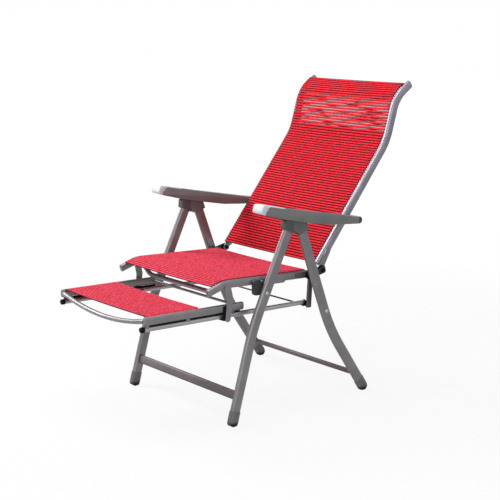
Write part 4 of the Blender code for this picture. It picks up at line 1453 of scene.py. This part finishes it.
@dataclass
class Studio:
    """Pale floor, soft lights and the photograph's camera.

    A lamp is its name, place, side in metres and power in watts.
    """

    lens: float = 85.31
    sensor: float = 36.0
    place: tuple = (3.0678, -2.5148, 1.3105)
    turn: tuple = (78.485, 0.073, 50.13)
    shift: tuple = (-0.0031, -0.0041)
    lamps: tuple = (
        ("key", (-2.8, -1.5, 2.7), 1.6, 125),
        ("fill", (2.7, -2.0, 1.4), 2.4, 30),
        ("top", (0.2, -0.6, 3.6), 2.2, 58),
    )
    aim: tuple = (0, 0, 0.5)
    surround: float = 0.32
    floor_reach: float = 14.0
    floor_drop: float = 0.0004
    floor_grey: float = 0.60
    floor_rough: float = 0.9
    floor_glow: float = 1.03
    shadow: float = 0.14
    shadow_from: float = 1.2
    shadow_to: float = 3.2
    mirrored_glow: float = 0.45

    def build(self) -> None:
        """Build the stage."""
        self.world()
        self.floor()
        for lamp in self.lamps:
            self.lamp(*lamp)
        self.camera()

    def world(self) -> None:
        """A white surround that lights more softly than it looks."""
        world = bpy.data.worlds.new("surround")
        bpy.context.scene.world = world
        world.use_nodes = True
        graph = Graph(world.node_tree)
        back = graph.tree.nodes["Background"]
        seen, glossy, passing = graph.light_path()
        direct = seen.math("MAXIMUM", glossy).math("MAXIMUM", passing)
        graph.link(self.surround + direct * (1 - self.surround), back.inputs["Strength"])
        graph.link((1, 1, 1, 1), back.inputs["Color"])

    def floor(self) -> None:
        """Lay a pale floor, which isn't part of the chair."""
        far = self.floor_reach
        mesh = bpy.data.meshes.new("floor")
        corners = [(-far, -far, 0), (far, -far, 0), (far, far, 0), (-far, far, 0)]
        mesh.from_pydata(corners, [], [(0, 1, 2, 3)])
        item = added("floor", mesh)
        item.location = (0, 0, -self.floor_drop)
        mesh.materials.append(self.floor_material())

    def floor_material(self) -> Any:
        """Nearly white to the camera, with a faint shadow under the chair.

        Returns:
            The material.
        """
        graph = ShaderGraph("floor")
        graph.feed("Base Color", tone(self.floor_grey, self.floor_grey, self.floor_grey))
        graph.feed("Roughness", self.floor_rough)
        glow = {"Color": (1, 1, 1, 1), "Strength": self.floor_glow}
        seen, glossy, passing = graph.light_path()
        away = graph.node(
            "ShaderNodeVectorMath", {"operation": "LENGTH"}, {0: graph.place}, "Value"
        ).smooth(self.shadow_from, self.shadow_to)
        white = seen * (away * self.shadow + (1 - self.shadow))
        white = white.math("MAXIMUM", glossy * self.mirrored_glow).math("MAXIMUM", passing)
        mixed = graph.node("ShaderNodeMixShader", inputs={
            0: white, 1: Sock(graph, graph.shader.outputs[0]),
            2: graph.node("ShaderNodeEmission", inputs=glow),
        })
        graph.link(mixed, graph.tree.nodes["Material Output"].inputs["Surface"])
        return graph.material

    def lamp(self, name: str, place: tuple, size: float, power: float) -> None:
        """A soft area lamp that points at the chair.

        Args:
            name: Its name.
            place: Where it stands.
            size: Its side in metres.
            power: Watts.
        """
        data = bpy.data.lights.new(name, "AREA")
        data.size = size
        data.energy = power
        item = added(name, data)
        item.location = place
        aim = Vector(self.aim) - Vector(place)
        item.rotation_euler = aim.to_track_quat("-Z", "Y").to_euler()

    def camera(self) -> None:
        """The photograph's camera."""
        data = bpy.data.cameras.new("camera")
        data.lens = self.lens
        data.sensor_width = self.sensor
        data.shift_x, data.shift_y = self.shift
        item = added("camera", data)
        item.location = self.place
        item.rotation_euler = Euler([radians(angle) for angle in self.turn])
        bpy.context.scene.camera = item
        bpy.context.scene.view_settings.view_transform = "Standard"


def main() -> None:
    """Build the chair's looks in order."""
    logging.basicConfig(level=logging.INFO, format="%(message)s")
    FRAME.update(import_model())
    graph = SheetGraph()
    LegFrame(
        Body.REAR, foot=(0.316, 0.0185), bend=(0.1586, 0.2474), radius=0.66, setback=0.0210,
        drop=0.0022, rivet=(0.1364, 0.3127), moulding=MOULDED,
    ).build()
    LegFrame(
        Body.FRONT, foot=(-0.261, 0.0185), bend=(-0.1786, 0.304), radius=0.70,
        setback=-0.0274, drop=-0.0064, rivet=(-0.1258, 0.4153), moulding=MOULDING_PAINTED_SHADE,
    ).build()
    CadPieces(Body.REAR, (
        ("knuckle_pin", MOULDED, 0.0003, True), ("back_bolt", BLACK, 0.0005, True),
    )).build()
    HingePieces(Body.REAR, (
        ("hinge_plate", DARK, 0.0006, True), ("hinge_bracket", BLACK, 0.0009, True),
    )).build()
    CadPieces(Body.FRONT, (("seat_saddle", DARK, 0.0010, True),), low_top=0.459).build()
    SeatPart(graph).build()
    FootrestPart(graph).build()
    BackPart(graph).build()
    ArmPart("left", Body.ARM_LEFT).build()
    ArmPart("right", Body.ARM_RIGHT).build()
    Studio().build()


if __name__ == "__main__":
    main()
